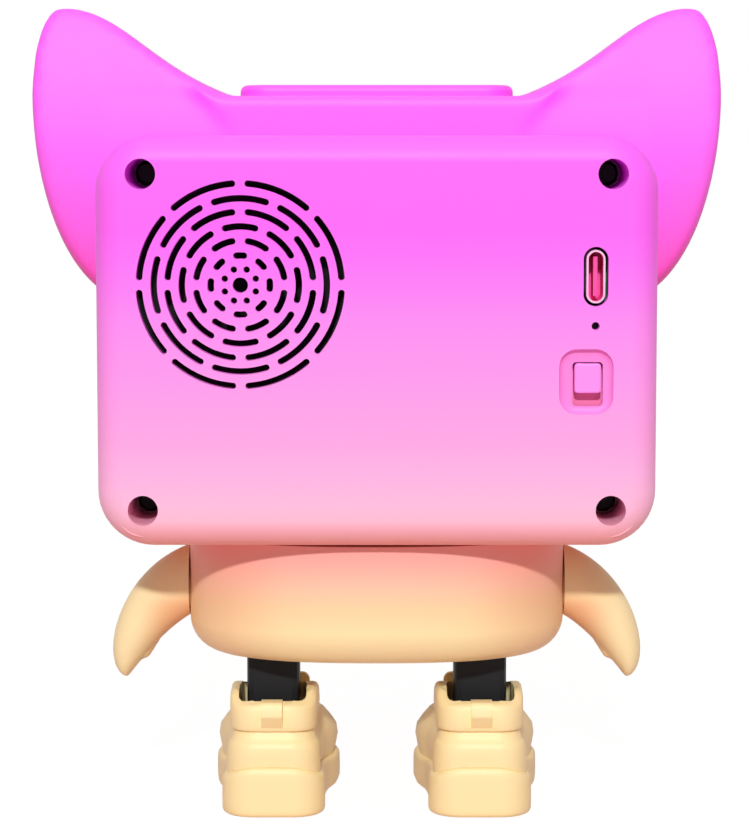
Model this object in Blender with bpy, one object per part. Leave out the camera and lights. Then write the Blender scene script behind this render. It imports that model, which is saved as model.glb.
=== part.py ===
"""Dancing alarm clock: a cat-eared box head with a speaker, on a small figure that sways over its shoes.

Metres, +Z up, soles on the floor at Z = 0. The display faces -Y and the speaker grille faces +Y.
"""
import math

import bmesh
import bpy
from mathutils import Vector

MM = 0.001
TINY = 1e-6

# Clearances
SEAM = 0.3 * MM            # between fixed pieces that meet
PIN_FIT = 0.2 * MM         # round a pin or a screw in its hole
SWING_GAP = 0.4 * MM       # beside a piece that swings
BITE = 0.5 * MM            # how far a joined shape reaches into the wall that carries it

# Head
HEAD_WIDTH = 94.6 * MM
HEAD_DEPTH = 58 * MM
FRONT_DEPTH = 38 * MM      # front housing, from the display to the rear cover
COVER_HEIGHT = 69.3 * MM
CROWN_RISE = 7 * MM        # the front housing stands this far above the rear cover
HEAD_CORNER = 9.5 * MM
HEAD_EDGE = 4.5 * MM
HEAD_WALL = 2.2 * MM

# Ears, drawn from the upper corner of the head: across and up, in millimetres
EAR_OUTER_EDGE = ((-1, -38), (15.4, -23), (17.4, 12.5), (8.8, 15.3))
EAR_INNER_EDGE = ((-24, -4), (-12, 2.5), (0, 14), (8.8, 15.3))
EAR_THICKNESS = 24 * MM
EAR_WALL = 2.4 * MM

# Speaker
SPEAKER_RADIUS = 20 * MM
SPEAKER_SIDE_GAP = 2.3 * MM
SPEAKER_TOP_GAP = 2.7 * MM
GRILLE_MARGIN = 3.05 * MM  # speaker rim outside the last ring of slots
GRILLE_RINGS = 6
GRILLE_SECTORS = 8
SLOT_WIDTH = 1.1 * MM
SLOT_END_GAP = 1.2         # bar between two slots, in slot widths
GRILLE_HOLE = 1.17         # radius of the middle hole, in slot widths
GRILLE_INNER = 1.15        # ring of small holes, in slot pitches
SPEAKER_SEAT_HEIGHT = 2 * MM
SPEAKER_SEAT_WALL = 1.2 * MM
SPEAKER_RIM = 1.6 * MM
SPEAKER_DEPTH = 13 * MM
SPEAKER_METAL = 1.4 * MM
MAGNET_HEIGHT = 5 * MM
MAGNET_SHARE = 0.55        # magnet radius as a share of the speaker
# Cone section: radius and depth behind the rim, as shares of the speaker's radius and depth
CONE_SECTION = ((0, 0.385), (0.15, 0.41), (0.27, 0.54), (0.76, 0.06), (0.81, 0.06), (0.81, 0.115),
                (0.77, 0.13), (0.28, 0.63), (0.2, 0.69), (0.2, 0.97), (0, 0.97))

# Rear cover fittings, from the side wall and the top of the cover
SCREW_SIDE = 7.9 * MM
SCREW_END = 6.4 * MM
SCREW_WELL_RADIUS = 2.55 * MM
SCREW_FLOOR = 3 * MM
POST_RADIUS = 4.6 * MM
PORT_SIDE = 10.7 * MM
PORT_SHARE = 0.339         # height below the top of the cover, as a share of the cover
PORT_LENGTH = 8.94 * MM
PORT_WIDTH = 3.16 * MM
PORT_REACH = 7.4 * MM
PORT_RIM = 0.35 * MM
PORT_GAP = 0.5 * MM
PORT_FLOOR = 1.2 * MM
TONGUE_WIDTH = 0.7 * MM
TONGUE_LENGTH = 6.6 * MM
TONGUE_BACK = 1.4 * MM     # tongue behind the mouth of the socket
MIC_SHARE = 0.458
MIC_RADIUS = 2 * MM
MIC_LENGTH = 2.6 * MM
MIC_HOLE = 0.68 * MM
MIC_SEAT_WALL = 1 * MM
MIC_SEAT_SHARE = 0.7       # seat height as a share of the microphone
SWITCH_SIDE = 11.9 * MM
SWITCH_SHARE = 0.6
KNOB_WIDTH = 4.5 * MM
KNOB_HEIGHT = 5 * MM
KNOB_TRAVEL = 2 * MM
KNOB_RECESS = 0.6 * MM     # knob face behind the back of the cover
KNOB_CORNER = 0.5 * MM
KNOB_EDGE = 0.3 * MM
KNOB_STEM = 7 * MM         # from the dish down to the switch body
SLOT_CORNER = 0.6 * MM
SWITCH_MARGIN = 1.5 * MM
SWITCH_HEIGHT = 5.5 * MM
DISH_MARGIN = 2.2 * MM
DISH_SLOPE = 1.1 * MM
DISH_DEPTH = 1.2 * MM

# Boards and display
BOARD = 1.6 * MM
BOARD_BELOW_SWITCH = 8 * MM
BOARD_ABOVE_PORT = 7 * MM
BOARD_EDGE = 1 * MM        # board beyond the boss of a screw
CONTROL_SCREW_FRONT = 1.5 * MM
DISPLAY_POST_GAP = 1.5 * MM
DISPLAY_SCREW_END = 4 * MM
LENS_SIDE = 7 * MM
LENS_BELOW = 10 * MM
LENS_ABOVE = 12 * MM
LENS_CORNER = 6 * MM
LENS_THICK = 1.3 * MM
LENS_LEDGE = 2 * MM
MODULE_MARGIN = 8 * MM
MODULE_DEPTH = 6 * MM

# Snooze button
BUTTON_SIDE = 23 * MM      # head beside the button, on each side
BUTTON_DEPTH = 16 * MM
BUTTON_CORNER = 5 * MM
BUTTON_PROUD = 1.8 * MM
BUTTON_LIP = 1.5 * MM
BUTTON_TRAVEL = 1 * MM
BUTTON_Y = -8 * MM
BUTTON_WELL = 9 * MM       # from the crown wall down to the button board
BUTTON_EDGE = 0.7 * MM
BUTTON_FLANGE = 1.2 * MM
BUTTON_STEM = 2 * MM
BUTTON_SCREW_GAP = 2 * MM
BUTTON_BOARD_HALF = 5 * MM
TACT_SIZE = 6 * MM
TACT_HEIGHT = 3.5 * MM
TACT_PLUNGER = 0.8 * MM
TACT_PLUNGER_SHARE = 0.28  # plunger radius as a share of the switch

# Battery
CELL_RADIUS = 9.1 * MM
CELL_END_GAP = 1.4 * MM    # holder to the screw posts
CELL_NUB = 1.5 * MM
CELL_NUB_SHARE = 0.35      # nub radius as a share of the cell
HOLDER_WALL = 1.5 * MM
HOLDER_FOOT = 5 * MM

# Screws
SCREW_SHANK = 1.3 * MM
SCREW_HEAD = 2.2 * MM
SCREW_HEAD_HEIGHT = 1.6 * MM
SCREW_REACH = 10 * MM
SMALL_SHANK = 1 * MM
SMALL_HEAD = 1.8 * MM
SMALL_HEAD_HEIGHT = 1.2 * MM
SMALL_REACH = 5 * MM
CONTROL_REACH = 4 * MM      # screws of the control board
SMALL_BOSS = 2.6 * MM

# Neck
NECK_GAP = 0.7 * MM
NECK_RADIUS = 8 * MM
NECK_RING_LIP = 2.5 * MM
NECK_RING_HEIGHT = 2 * MM
NECK_BORE = 3.2 * MM
NECK_PARTING_GAP = 1.5 * MM
NECK_HOLE_FLOOR = 1 * MM

# Torso
TORSO_WIDTH = 66.8 * MM
TORSO_DEPTH = 46 * MM
TORSO_POWER = 2.4          # 2 is an ellipse, more is squarer
TORSO_EDGE = 6 * MM
TORSO_WALL = 2 * MM
TORSO_COUNT = 36           # flats round the torso
TORSO_CLEARANCE = 8 * MM   # above the shoe collars
TORSO_HEADROOM = 1.64 * MM
CHASSIS_PLATE = 3 * MM
CHASSIS_EDGE = 0.8 * MM
CHASSIS_SCREW_INSET = 2.8 * MM
CHEEK_MARGIN = 2 * MM      # bearing plates beyond the heads of the hip pins
CHEEK_BELOW = 1 * MM
BEARING_PLATE = 2 * MM

# Legs and their drive
HIP_INSET = 15.05 * MM
LEG_WIDTH = 9.2 * MM
LEG_DEPTH = 10 * MM
LEG_EDGE = 1.2 * MM
LEG_END_COUNT = 12         # flats round each end of a leg
LEG_Y = 4.5 * MM
LEG_NOTCH = 2.6 * MM       # leg slots open this far toward the sides of the torso
LEG_SLOT_CORNER = 1.5 * MM
SWAY = math.radians(6)
DRIVE_TEETH = 10
SECTOR_TEETH = 28
SECTOR_CUT = 4             # teeth cut on each leg
PRESSURE_ANGLE = math.radians(25)
ADDENDUM = 0.9
DEDENDUM = 1.25
BACKLASH = 0.16 * MM
GEAR_WIDTH = 6 * MM
GEAR_CLEARANCE = 0.6 * MM
PIN_RADIUS = 1.5 * MM
PIN_HEAD = 2.6 * MM
PIN_HEAD_HEIGHT = 1 * MM
SHAFT_RADIUS = 1.2 * MM
MOTOR_RADIUS = 6 * MM
MOTOR_LENGTH = 14 * MM
MOTOR_CAP = 1 * MM

# Arms, drawn from the shoulder: across and up, in millimetres
SHOULDER_DROP = 10 * MM
SHOULDER_BOSS = 5.6 * MM
ARM_OUTER_EDGE = ((0, 7), (11.5, 1.5), (15.5, -16), (9.9, -16.9))
ARM_INNER_EDGE = ((0, -5.4), (3.6, -9), (8, -15.6), (9.9, -16.9))
ARM_THICKNESS = 11 * MM
ARM_PIN_REACH = 4 * MM
THUMB_AT = (7.2, -12.3)
THUMB_RADIUS = 1.7 * MM

# Shoes
SOLE_HEIGHT = 8 * MM
SOLE_LIFT = 0.6 * MM       # sole edge above the floor, round the pad
SOLE_EDGE = 0.9 * MM
PAD_HEIGHT = 1 * MM
PAD_INSET = 2.8 * MM
HEEL_HALF = 9 * MM
TOE_HALF = 11.2 * MM
HEEL_ROUND = 0.6           # corner radius as a share of the half width
TOE_ROUND = 0.85
HEEL_BEHIND = 12.5 * MM    # heel back from the middle of the leg
SHOE_INSET = 0.4 * MM      # shoe in from the middle of the leg
SHOE_LENGTH = 40 * MM
UPPER_INSET = 0.7 * MM
UPPER_SWELL = 0.3 * MM
UPPER_TUCK = 0.8 * MM
NECK_BEHIND = 1.6 * MM     # collar in from the heel of the upper
NECK_AHEAD = 2.2 * MM      # collar out from the front of the leg opening
COLLAR_ROLL = 0.5 * MM
COLLAR_HEIGHT = 11.7 * MM
COLLAR_WALL = 1.5 * MM
ANKLE_CLEARANCE = 0.5 * MM
ANKLE_PIN_REACH = 2 * MM
HEEL_TAB_WIDTH = 4.2 * MM
HEEL_TAB_HEIGHT = 4.4 * MM
HEEL_TAB_PROUD = 0.8 * MM
HEEL_TAB_CORNER = 1 * MM
HEEL_TAB_DROP = 0.2 * MM
HEEL_TAB_ROOT = 1 * MM

# Fineness of round shapes
FINE_COUNT = 24
ROUND_COUNT = 16
COARSE_COUNT = 10
SMOOTH_ANGLE = math.radians(35)

# Places that follow from the sizes: head front to back
BACK_Y = HEAD_DEPTH / 2
FRONT_Y = -HEAD_DEPTH / 2
PARTING_Y = FRONT_Y + FRONT_DEPTH
COVER_FRONT_Y = PARTING_Y + SEAM
COVER_INNER_Y = BACK_Y - HEAD_WALL
FRONT_INNER_Y = FRONT_Y + HEAD_WALL

# Places that follow from the sizes: drive train
LEG_SPACING = TORSO_WIDTH - 2 * HIP_INSET
HIP_X = LEG_SPACING / 2
GEAR_MODULE = LEG_SPACING / (DRIVE_TEETH + SECTOR_TEETH)
DRIVE_PITCH = GEAR_MODULE * DRIVE_TEETH / 2
SECTOR_PITCH = GEAR_MODULE * SECTOR_TEETH / 2
DRIVE_TIP = DRIVE_PITCH + ADDENDUM * GEAR_MODULE
SECTOR_TIP = SECTOR_PITCH + ADDENDUM * GEAR_MODULE
SECTOR_HALF_ANGLE = (SECTOR_CUT - 0.5) * math.pi / SECTOR_TEETH
SECTOR_REACH = SECTOR_TIP * math.sin(SECTOR_HALF_ANGLE + SWAY)
DRIVE_HEIGHT = max(DRIVE_TIP, SECTOR_REACH, LEG_WIDTH / 2)

# Places that follow from the sizes: heights
UPPER_BASE_Z = SOLE_HEIGHT + SEAM
COLLAR_Z = UPPER_BASE_Z + COLLAR_HEIGHT
ANKLE_Z = UPPER_BASE_Z + LEG_WIDTH / 2 + ANKLE_CLEARANCE
TORSO_FLOOR_Z = COLLAR_Z + TORSO_CLEARANCE
HIP_Z = TORSO_FLOOR_Z + TORSO_WALL + GEAR_CLEARANCE + DRIVE_HEIGHT
CHASSIS_LOW_Z = HIP_Z + DRIVE_HEIGHT + TORSO_HEADROOM
TORSO_TOP_Z = CHASSIS_LOW_Z + CHASSIS_PLATE
HEAD_BASE_Z = TORSO_TOP_Z + NECK_GAP
HEAD_FLOOR_Z = HEAD_BASE_Z + HEAD_WALL
COVER_TOP_Z = HEAD_BASE_Z + COVER_HEIGHT
CROWN_TOP_Z = COVER_TOP_Z + CROWN_RISE
CROWN_INNER_Z = CROWN_TOP_Z - HEAD_WALL
SHOULDER_Z = TORSO_TOP_Z - SHOULDER_DROP

# Places that follow from the sizes: shoes front to back
HEEL_Y = LEG_Y + HEEL_BEHIND
TOE_Y = HEEL_Y - SHOE_LENGTH
UPPER_HEEL_Y = HEEL_Y - UPPER_INSET

# Places that follow from the sizes: rear cover fittings
SPEAKER_X = HEAD_WIDTH / 2 - HEAD_WALL - SPEAKER_SIDE_GAP - SPEAKER_RADIUS
SPEAKER_Z = COVER_TOP_Z - HEAD_WALL - SPEAKER_TOP_GAP - SPEAKER_RADIUS
GRILLE_PITCH = (SPEAKER_RADIUS - GRILLE_MARGIN) / (GRILLE_RINGS + 1)
SCREW_X = HEAD_WIDTH / 2 - SCREW_SIDE
SCREW_LOW_Z = HEAD_BASE_Z + SCREW_END
SCREW_HIGH_Z = COVER_TOP_Z - SCREW_END
PORT_X = PORT_SIDE - HEAD_WIDTH / 2
PORT_Z = COVER_TOP_Z - PORT_SHARE * COVER_HEIGHT
MIC_Z = COVER_TOP_Z - MIC_SHARE * COVER_HEIGHT
SWITCH_X = SWITCH_SIDE - HEAD_WIDTH / 2
SWITCH_Z = COVER_TOP_Z - SWITCH_SHARE * COVER_HEIGHT
SLOT_HALF_WIDTH = KNOB_WIDTH / 2 + SEAM
SLOT_HALF_HEIGHT = (KNOB_HEIGHT + KNOB_TRAVEL) / 2 + PIN_FIT
BUTTON_WIDTH = HEAD_WIDTH - 2 * BUTTON_SIDE
CELL_LENGTH = 2 * (SCREW_X - POST_RADIUS - CELL_END_GAP - HOLDER_WALL - SEAM)
NECK_RING_RADIUS = NECK_RADIUS + NECK_RING_LIP
NECK_Y = PARTING_Y - NECK_PARTING_GAP - NECK_RING_RADIUS
BOSS_ROOT_X = -HEAD_WIDTH / 2 + HEAD_WALL - BITE

# Colours, linear
PINK = (1.0, 0.25, 0.9)
SALMON = (1.0, 0.5, 0.4)
PEACH = (1.0, 0.72, 0.38)
CREAM = (1.0, 0.82, 0.43)
BLACK = (0.025, 0.025, 0.028)
STEEL = (0.6, 0.6, 0.62)
GREEN = (0.02, 0.16, 0.06)
GREY = (0.25, 0.25, 0.27)


# Scene and materials

def clear_scene():
    for obj in list(bpy.data.objects):
        bpy.data.objects.remove(obj, do_unlink=True)


def finish(name, colour, roughness, metallic=0.0):
    material = bpy.data.materials.new(name)
    material.use_nodes = True
    shader = material.node_tree.nodes["Principled BSDF"]
    shader.inputs["Base Color"].default_value = (*colour, 1.0)
    shader.inputs["Roughness"].default_value = roughness
    shader.inputs["Metallic"].default_value = metallic
    return material


def place(name, shape, material, pivot=(0, 0, 0)):
    """Makes a node from a shape drawn in the figure's frame, with its origin at the pivot."""
    bmesh.ops.recalc_face_normals(shape, faces=shape.faces)
    bmesh.ops.translate(shape, verts=shape.verts, vec=-Vector(pivot))
    mesh = bpy.data.meshes.new(name)
    shape.to_mesh(mesh)
    shape.free()
    mesh.shade_smooth()
    mesh.set_sharp_from_angle(angle=SMOOTH_ANGLE)
    node = bpy.data.objects.new(name, mesh)
    node.location = pivot
    node.parent = FIGURE
    if material:
        mesh.materials.append(material)
    bpy.context.scene.collection.objects.link(node)
    return node


def shape_node(node, operation, *shapes):
    """Joins shapes to a node or cuts them out of it, one after another."""
    for number, shape in enumerate(shapes):
        tool = place(f"{node.name}_{operation.lower()}_{len(node.modifiers)}_{number}", shape, None)
        tool.hide_render = True
        tool.display_type = "WIRE"
        step = node.modifiers.new(tool.name, "BOOLEAN")
        step.operation = operation
        step.object = tool
        step.solver = "EXACT"


def join(node, *shapes):
    shape_node(node, "UNION", *shapes)


def cut(node, *shapes):
    shape_node(node, "DIFFERENCE", *shapes)


# Outlines and shapes

def arc(centre, radius, first, last, steps):
    points = []
    for step in range(steps + 1):
        angle = first + (last - first) * step / steps
        points.append((centre[0] + radius * math.cos(angle), centre[1] + radius * math.sin(angle)))
    return points


def circle(centre, radius, count=ROUND_COUNT):
    return arc(centre, radius, 0, 2 * math.pi * (count - 1) / count, count - 1)


def rounded(low, high, radius, steps=5):
    """Rectangle between two corners, with round corners."""
    radius = min(radius, (high[0] - low[0]) / 2 - TINY, (high[1] - low[1]) / 2 - TINY)
    centres = ((high[0] - radius, high[1] - radius), (low[0] + radius, high[1] - radius),
               (low[0] + radius, low[1] + radius), (high[0] - radius, low[1] + radius))
    points = []
    for quarter, centre in enumerate(centres):
        points += arc(centre, radius, quarter * math.pi / 2, (quarter + 1) * math.pi / 2, steps)
    return points


def rectangle(low, high):
    return [(low[0], low[1]), (high[0], low[1]), (high[0], high[1]), (low[0], high[1])]


def centred(centre, width, height):
    """Two corners of a rectangle about a centre."""
    return ((centre[0] - width / 2, centre[1] - height / 2), (centre[0] + width / 2, centre[1] + height / 2))


def along(axis, u, v, w):
    """Point at w along an axis, with u and v across it in the order X, Y, Z."""
    return {"X": (w, u, v), "Y": (u, w, v), "Z": (u, v, w)}[axis]


def prism(outline, axis, low, high, shape=None):
    shape = shape or bmesh.new()
    face = shape.faces.new([shape.verts.new(along(axis, u, v, low)) for u, v in outline])
    lifted = bmesh.ops.extrude_face_region(shape, geom=[face])
    verts = [item for item in lifted["geom"] if isinstance(item, bmesh.types.BMVert)]
    bmesh.ops.translate(shape, verts=verts, vec=along(axis, 0, 0, high - low))
    return shape


def soften(shape, axis, level, radius, steps):
    """Rounds the edges of a prism that lie in one end plane."""
    index = "XYZ".index(axis)
    edges = [edge for edge in shape.edges
             if all(abs(vert.co[index] - level) < TINY for vert in edge.verts)]
    bmesh.ops.bevel(shape, geom=edges, offset=radius, offset_type="OFFSET", segments=steps,
                    profile=0.5, affect="EDGES", clamp_overlap=True)
    return shape


def turned(profile, axis, centre, steps=ROUND_COUNT, shape=None):
    """Solid of revolution: a profile of (radius, place along the axis), closed or ending on the axis."""
    turning = bmesh.new()
    corners = [turning.verts.new(along(axis, radius, 0, level)) for radius, level in profile]
    for start, end in zip(corners, corners[1:]):
        turning.edges.new((start, end))
    if profile[0][0] > TINY:
        turning.edges.new((corners[-1], corners[0]))
    bmesh.ops.spin(turning, geom=turning.verts[:] + turning.edges[:], cent=(0, 0, 0),
                   axis=along(axis, 0, 0, 1), angle=2 * math.pi, steps=steps, use_merge=True)
    bmesh.ops.remove_doubles(turning, verts=turning.verts, dist=TINY)
    bmesh.ops.translate(turning, verts=turning.verts, vec=along(axis, *centre, 0))
    if shape is None:
        return turning
    mesh = bpy.data.meshes.new("turned")
    turning.to_mesh(mesh)
    turning.free()
    shape.from_mesh(mesh)
    bpy.data.meshes.remove(mesh)
    return shape


def rod(axis, centre, radius, low, high, steps=ROUND_COUNT, shape=None):
    return prism(circle(centre, radius, steps), axis, low, high, shape)


def skin(rings, pole=None):
    """Closed surface over rings of points, ending in a flat face or in a pole."""
    shape = bmesh.new()
    loops = [[shape.verts.new(point) for point in ring] for ring in rings]
    shape.faces.new(loops[0])
    for lower, upper in zip(loops, loops[1:]):
        for index in range(len(lower)):
            shape.faces.new((lower[index - 1], lower[index], upper[index], upper[index - 1]))
    if pole is None:
        shape.faces.new(loops[-1])
    else:
        tip = shape.verts.new(pole)
        for index in range(len(loops[-1])):
            shape.faces.new((loops[-1][index - 1], loops[-1][index], tip))
    return shape


def bezier(points, t):
    a, b, c, d = (Vector(point) for point in points)
    s = 1 - t
    return s ** 3 * a + 3 * s * s * t * b + 3 * s * t * t * c + t ** 3 * d


def blade(edge_one, edge_two, thickness, root, side, stations, around, inset=0.0, last=0.97):
    """Rounded leaf between two curved edges that meet at its tip, drawn in millimetres from a root."""
    rings = []
    for station in range(stations):
        t = last * station / (stations - 1)
        one = bezier(edge_one, t) * MM
        two = bezier(edge_two, t) * MM
        middle = (one + two) / 2
        reach = (one - two) / 2
        reach -= reach.normalized() * inset
        half = thickness / 2 * math.sqrt(1 - t * t) - inset
        ring = []
        for step in range(around):
            angle = 2 * math.pi * step / around
            spot = middle + reach * math.cos(angle)
            ring.append((side * (root[0] + spot.x), root[1] + half * math.sin(angle), root[2] + spot.y))
        rings.append(ring)
    if inset:
        return skin(rings)
    tip = bezier(edge_one, 1) * MM
    return skin(rings, (side * (root[0] + tip.x), root[1], root[2] + tip.y))


def screw(name, axis, centre, seat, way, reach, small=False):
    """Screw with its head on a seat; way is +1 or -1, the side of the seat that the head is on."""
    shank = SMALL_SHANK if small else SCREW_SHANK
    head = SMALL_HEAD if small else SCREW_HEAD
    height = SMALL_HEAD_HEIGHT if small else SCREW_HEAD_HEIGHT
    low = seat + way * SEAM
    profile = [(0, low + way * height), (head * 0.75, low + way * height), (head, low + way * height * 0.5),
               (head, low), (shank, low), (shank, seat - way * reach), (0, seat - way * (reach + shank))]
    return place(name, turned(profile, axis, centre, COARSE_COUNT), STEEL_FINISH)


# Head shells

def head_block(inset, top, front, back, edge_end, edge):
    """Box of the head's outline, with one end's edges rounded."""
    outline = rounded((-HEAD_WIDTH / 2 + inset, HEAD_BASE_Z + inset), (HEAD_WIDTH / 2 - inset, top - inset),
                      HEAD_CORNER - inset, 5)
    block = prism(outline, "Y", front, back)
    return soften(block, "Y", edge_end, max(edge - inset, SEAM), 3)


def corner_screws():
    for across in (SCREW_X, -SCREW_X):
        for height in (SCREW_HIGH_Z, SCREW_LOW_Z):
            yield across, height


def arc_slot(centre, radius, middle, half_angle, width, shape):
    """Slot bent round the grille's centre, with round ends, cut through the back of the cover."""
    first = middle - half_angle
    last = middle + half_angle
    bend = 2
    start = (centre[0] + radius * math.cos(first), centre[1] + radius * math.sin(first))
    end = (centre[0] + radius * math.cos(last), centre[1] + radius * math.sin(last))
    outline = arc(centre, radius + width / 2, first, last, bend)
    outline += arc(end, width / 2, last, last + math.pi, 2)[1:-1]
    outline += arc(centre, radius - width / 2, last, first, bend)
    outline += arc(start, width / 2, first + math.pi, first + 2 * math.pi, 2)[1:-1]
    return prism(outline, "Y", COVER_INNER_Y - BITE, BACK_Y + BITE, shape)


def grille():
    centre = (SPEAKER_X, SPEAKER_Z)
    low = COVER_INNER_Y - BITE
    high = BACK_Y + BITE
    sector = 2 * math.pi / GRILLE_SECTORS
    shape = rod("Y", centre, SLOT_WIDTH * GRILLE_HOLE, low, high, COARSE_COUNT)
    inner = GRILLE_PITCH * GRILLE_INNER
    for number in range(GRILLE_SECTORS):
        angle = sector * (number + 0.5)
        spot = (centre[0] + inner * math.cos(angle), centre[1] + inner * math.sin(angle))
        rod("Y", spot, SLOT_WIDTH / 2, low, high, COARSE_COUNT, shape)
    for ring in range(2, GRILLE_RINGS + 2):
        radius = GRILLE_PITCH * ring
        half_angle = sector / 2 - SLOT_END_GAP * SLOT_WIDTH / radius
        for number in range(GRILLE_SECTORS):
            arc_slot(centre, radius, sector * (number + 0.5 * (ring % 2)), half_angle, SLOT_WIDTH, shape)
    return shape


def build_rear_cover():
    shell = head_block(0, COVER_TOP_Z, COVER_FRONT_Y, BACK_Y, BACK_Y, HEAD_EDGE)
    cover = place("rear_cover", shell, PINK_FINISH)
    cavity_front = PARTING_Y - HEAD_WALL
    cut(cover, head_block(HEAD_WALL, COVER_TOP_Z, cavity_front, COVER_INNER_Y, COVER_INNER_Y, HEAD_EDGE))
    posts = bmesh.new()
    for spot in corner_screws():
        rod("Y", spot, POST_RADIUS, COVER_FRONT_Y, COVER_INNER_Y + BITE, COARSE_COUNT, posts)
    board_face = control_board_face() - BOARD
    for height in control_board_screws():
        spot = (control_board_screw_y(), height)
        rod("X", spot, SMALL_BOSS, BOSS_ROOT_X, board_face - SEAM, COARSE_COUNT, posts)
    rod("Y", (PORT_X, MIC_Z), MIC_RADIUS + SEAM + MIC_SEAT_WALL, COVER_INNER_Y - MIC_LENGTH * MIC_SEAT_SHARE,
        COVER_INNER_Y + BITE, COARSE_COUNT, posts)
    join(cover, posts)
    bore = SPEAKER_RADIUS + SEAM
    low = COVER_INNER_Y - SPEAKER_SEAT_HEIGHT
    seat = [(bore, low), (bore, COVER_INNER_Y + BITE), (bore + SPEAKER_SEAT_WALL, COVER_INNER_Y + BITE),
            (bore + SPEAKER_SEAT_WALL, low)]
    join(cover, turned(seat, "Y", (SPEAKER_X, SPEAKER_Z), FINE_COUNT))
    wells = bmesh.new()
    for spot in corner_screws():
        floor = COVER_FRONT_Y + SCREW_FLOOR
        well = [(0, COVER_FRONT_Y - BITE), (SCREW_SHANK + PIN_FIT, COVER_FRONT_Y - BITE),
                (SCREW_SHANK + PIN_FIT, floor), (SCREW_WELL_RADIUS, floor),
                (SCREW_WELL_RADIUS, BACK_Y + BITE), (0, BACK_Y + BITE)]
        turned(well, "Y", spot, ROUND_COUNT, wells)
    for height in control_board_screws():
        rod("X", (control_board_screw_y(), height), SMALL_SHANK + PIN_FIT, BOSS_ROOT_X + 2 * BITE, board_face,
            COARSE_COUNT, wells)
    port = centred((PORT_X, PORT_Z), PORT_WIDTH + 2 * PORT_GAP, PORT_LENGTH + 2 * PORT_GAP)
    prism(rounded(*port, PORT_WIDTH / 2 + PORT_GAP, 6), "Y", COVER_INNER_Y - BITE, BACK_Y + BITE, wells)
    mic = [(0, COVER_INNER_Y - MIC_LENGTH), (MIC_RADIUS + SEAM, COVER_INNER_Y - MIC_LENGTH),
           (MIC_RADIUS + SEAM, COVER_INNER_Y), (MIC_HOLE, COVER_INNER_Y), (MIC_HOLE, BACK_Y + BITE),
           (0, BACK_Y + BITE)]
    turned(mic, "Y", (PORT_X, MIC_Z), COARSE_COUNT, wells)
    slot = centred((SWITCH_X, SWITCH_Z), 2 * SLOT_HALF_WIDTH, 2 * SLOT_HALF_HEIGHT)
    prism(rounded(*slot, SLOT_CORNER, 2), "Y", COVER_INNER_Y - BITE, BACK_Y + BITE, wells)
    cut(cover, wells, dish_shape(), grille())


def dish_shape():
    """Sloping finger dish round the power switch."""
    rings = []
    for level, grow in ((BACK_Y - DISH_DEPTH, 0), (BACK_Y + DISH_DEPTH, 2 * DISH_SLOPE)):
        margin = DISH_MARGIN - DISH_SLOPE + grow
        corners = centred((SWITCH_X, SWITCH_Z), 2 * (SLOT_HALF_WIDTH + margin), 2 * (SLOT_HALF_HEIGHT + margin))
        rings.append([along("Y", u, v, level) for u, v in rounded(*corners, margin, 4)])
    return skin(rings)


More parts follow.
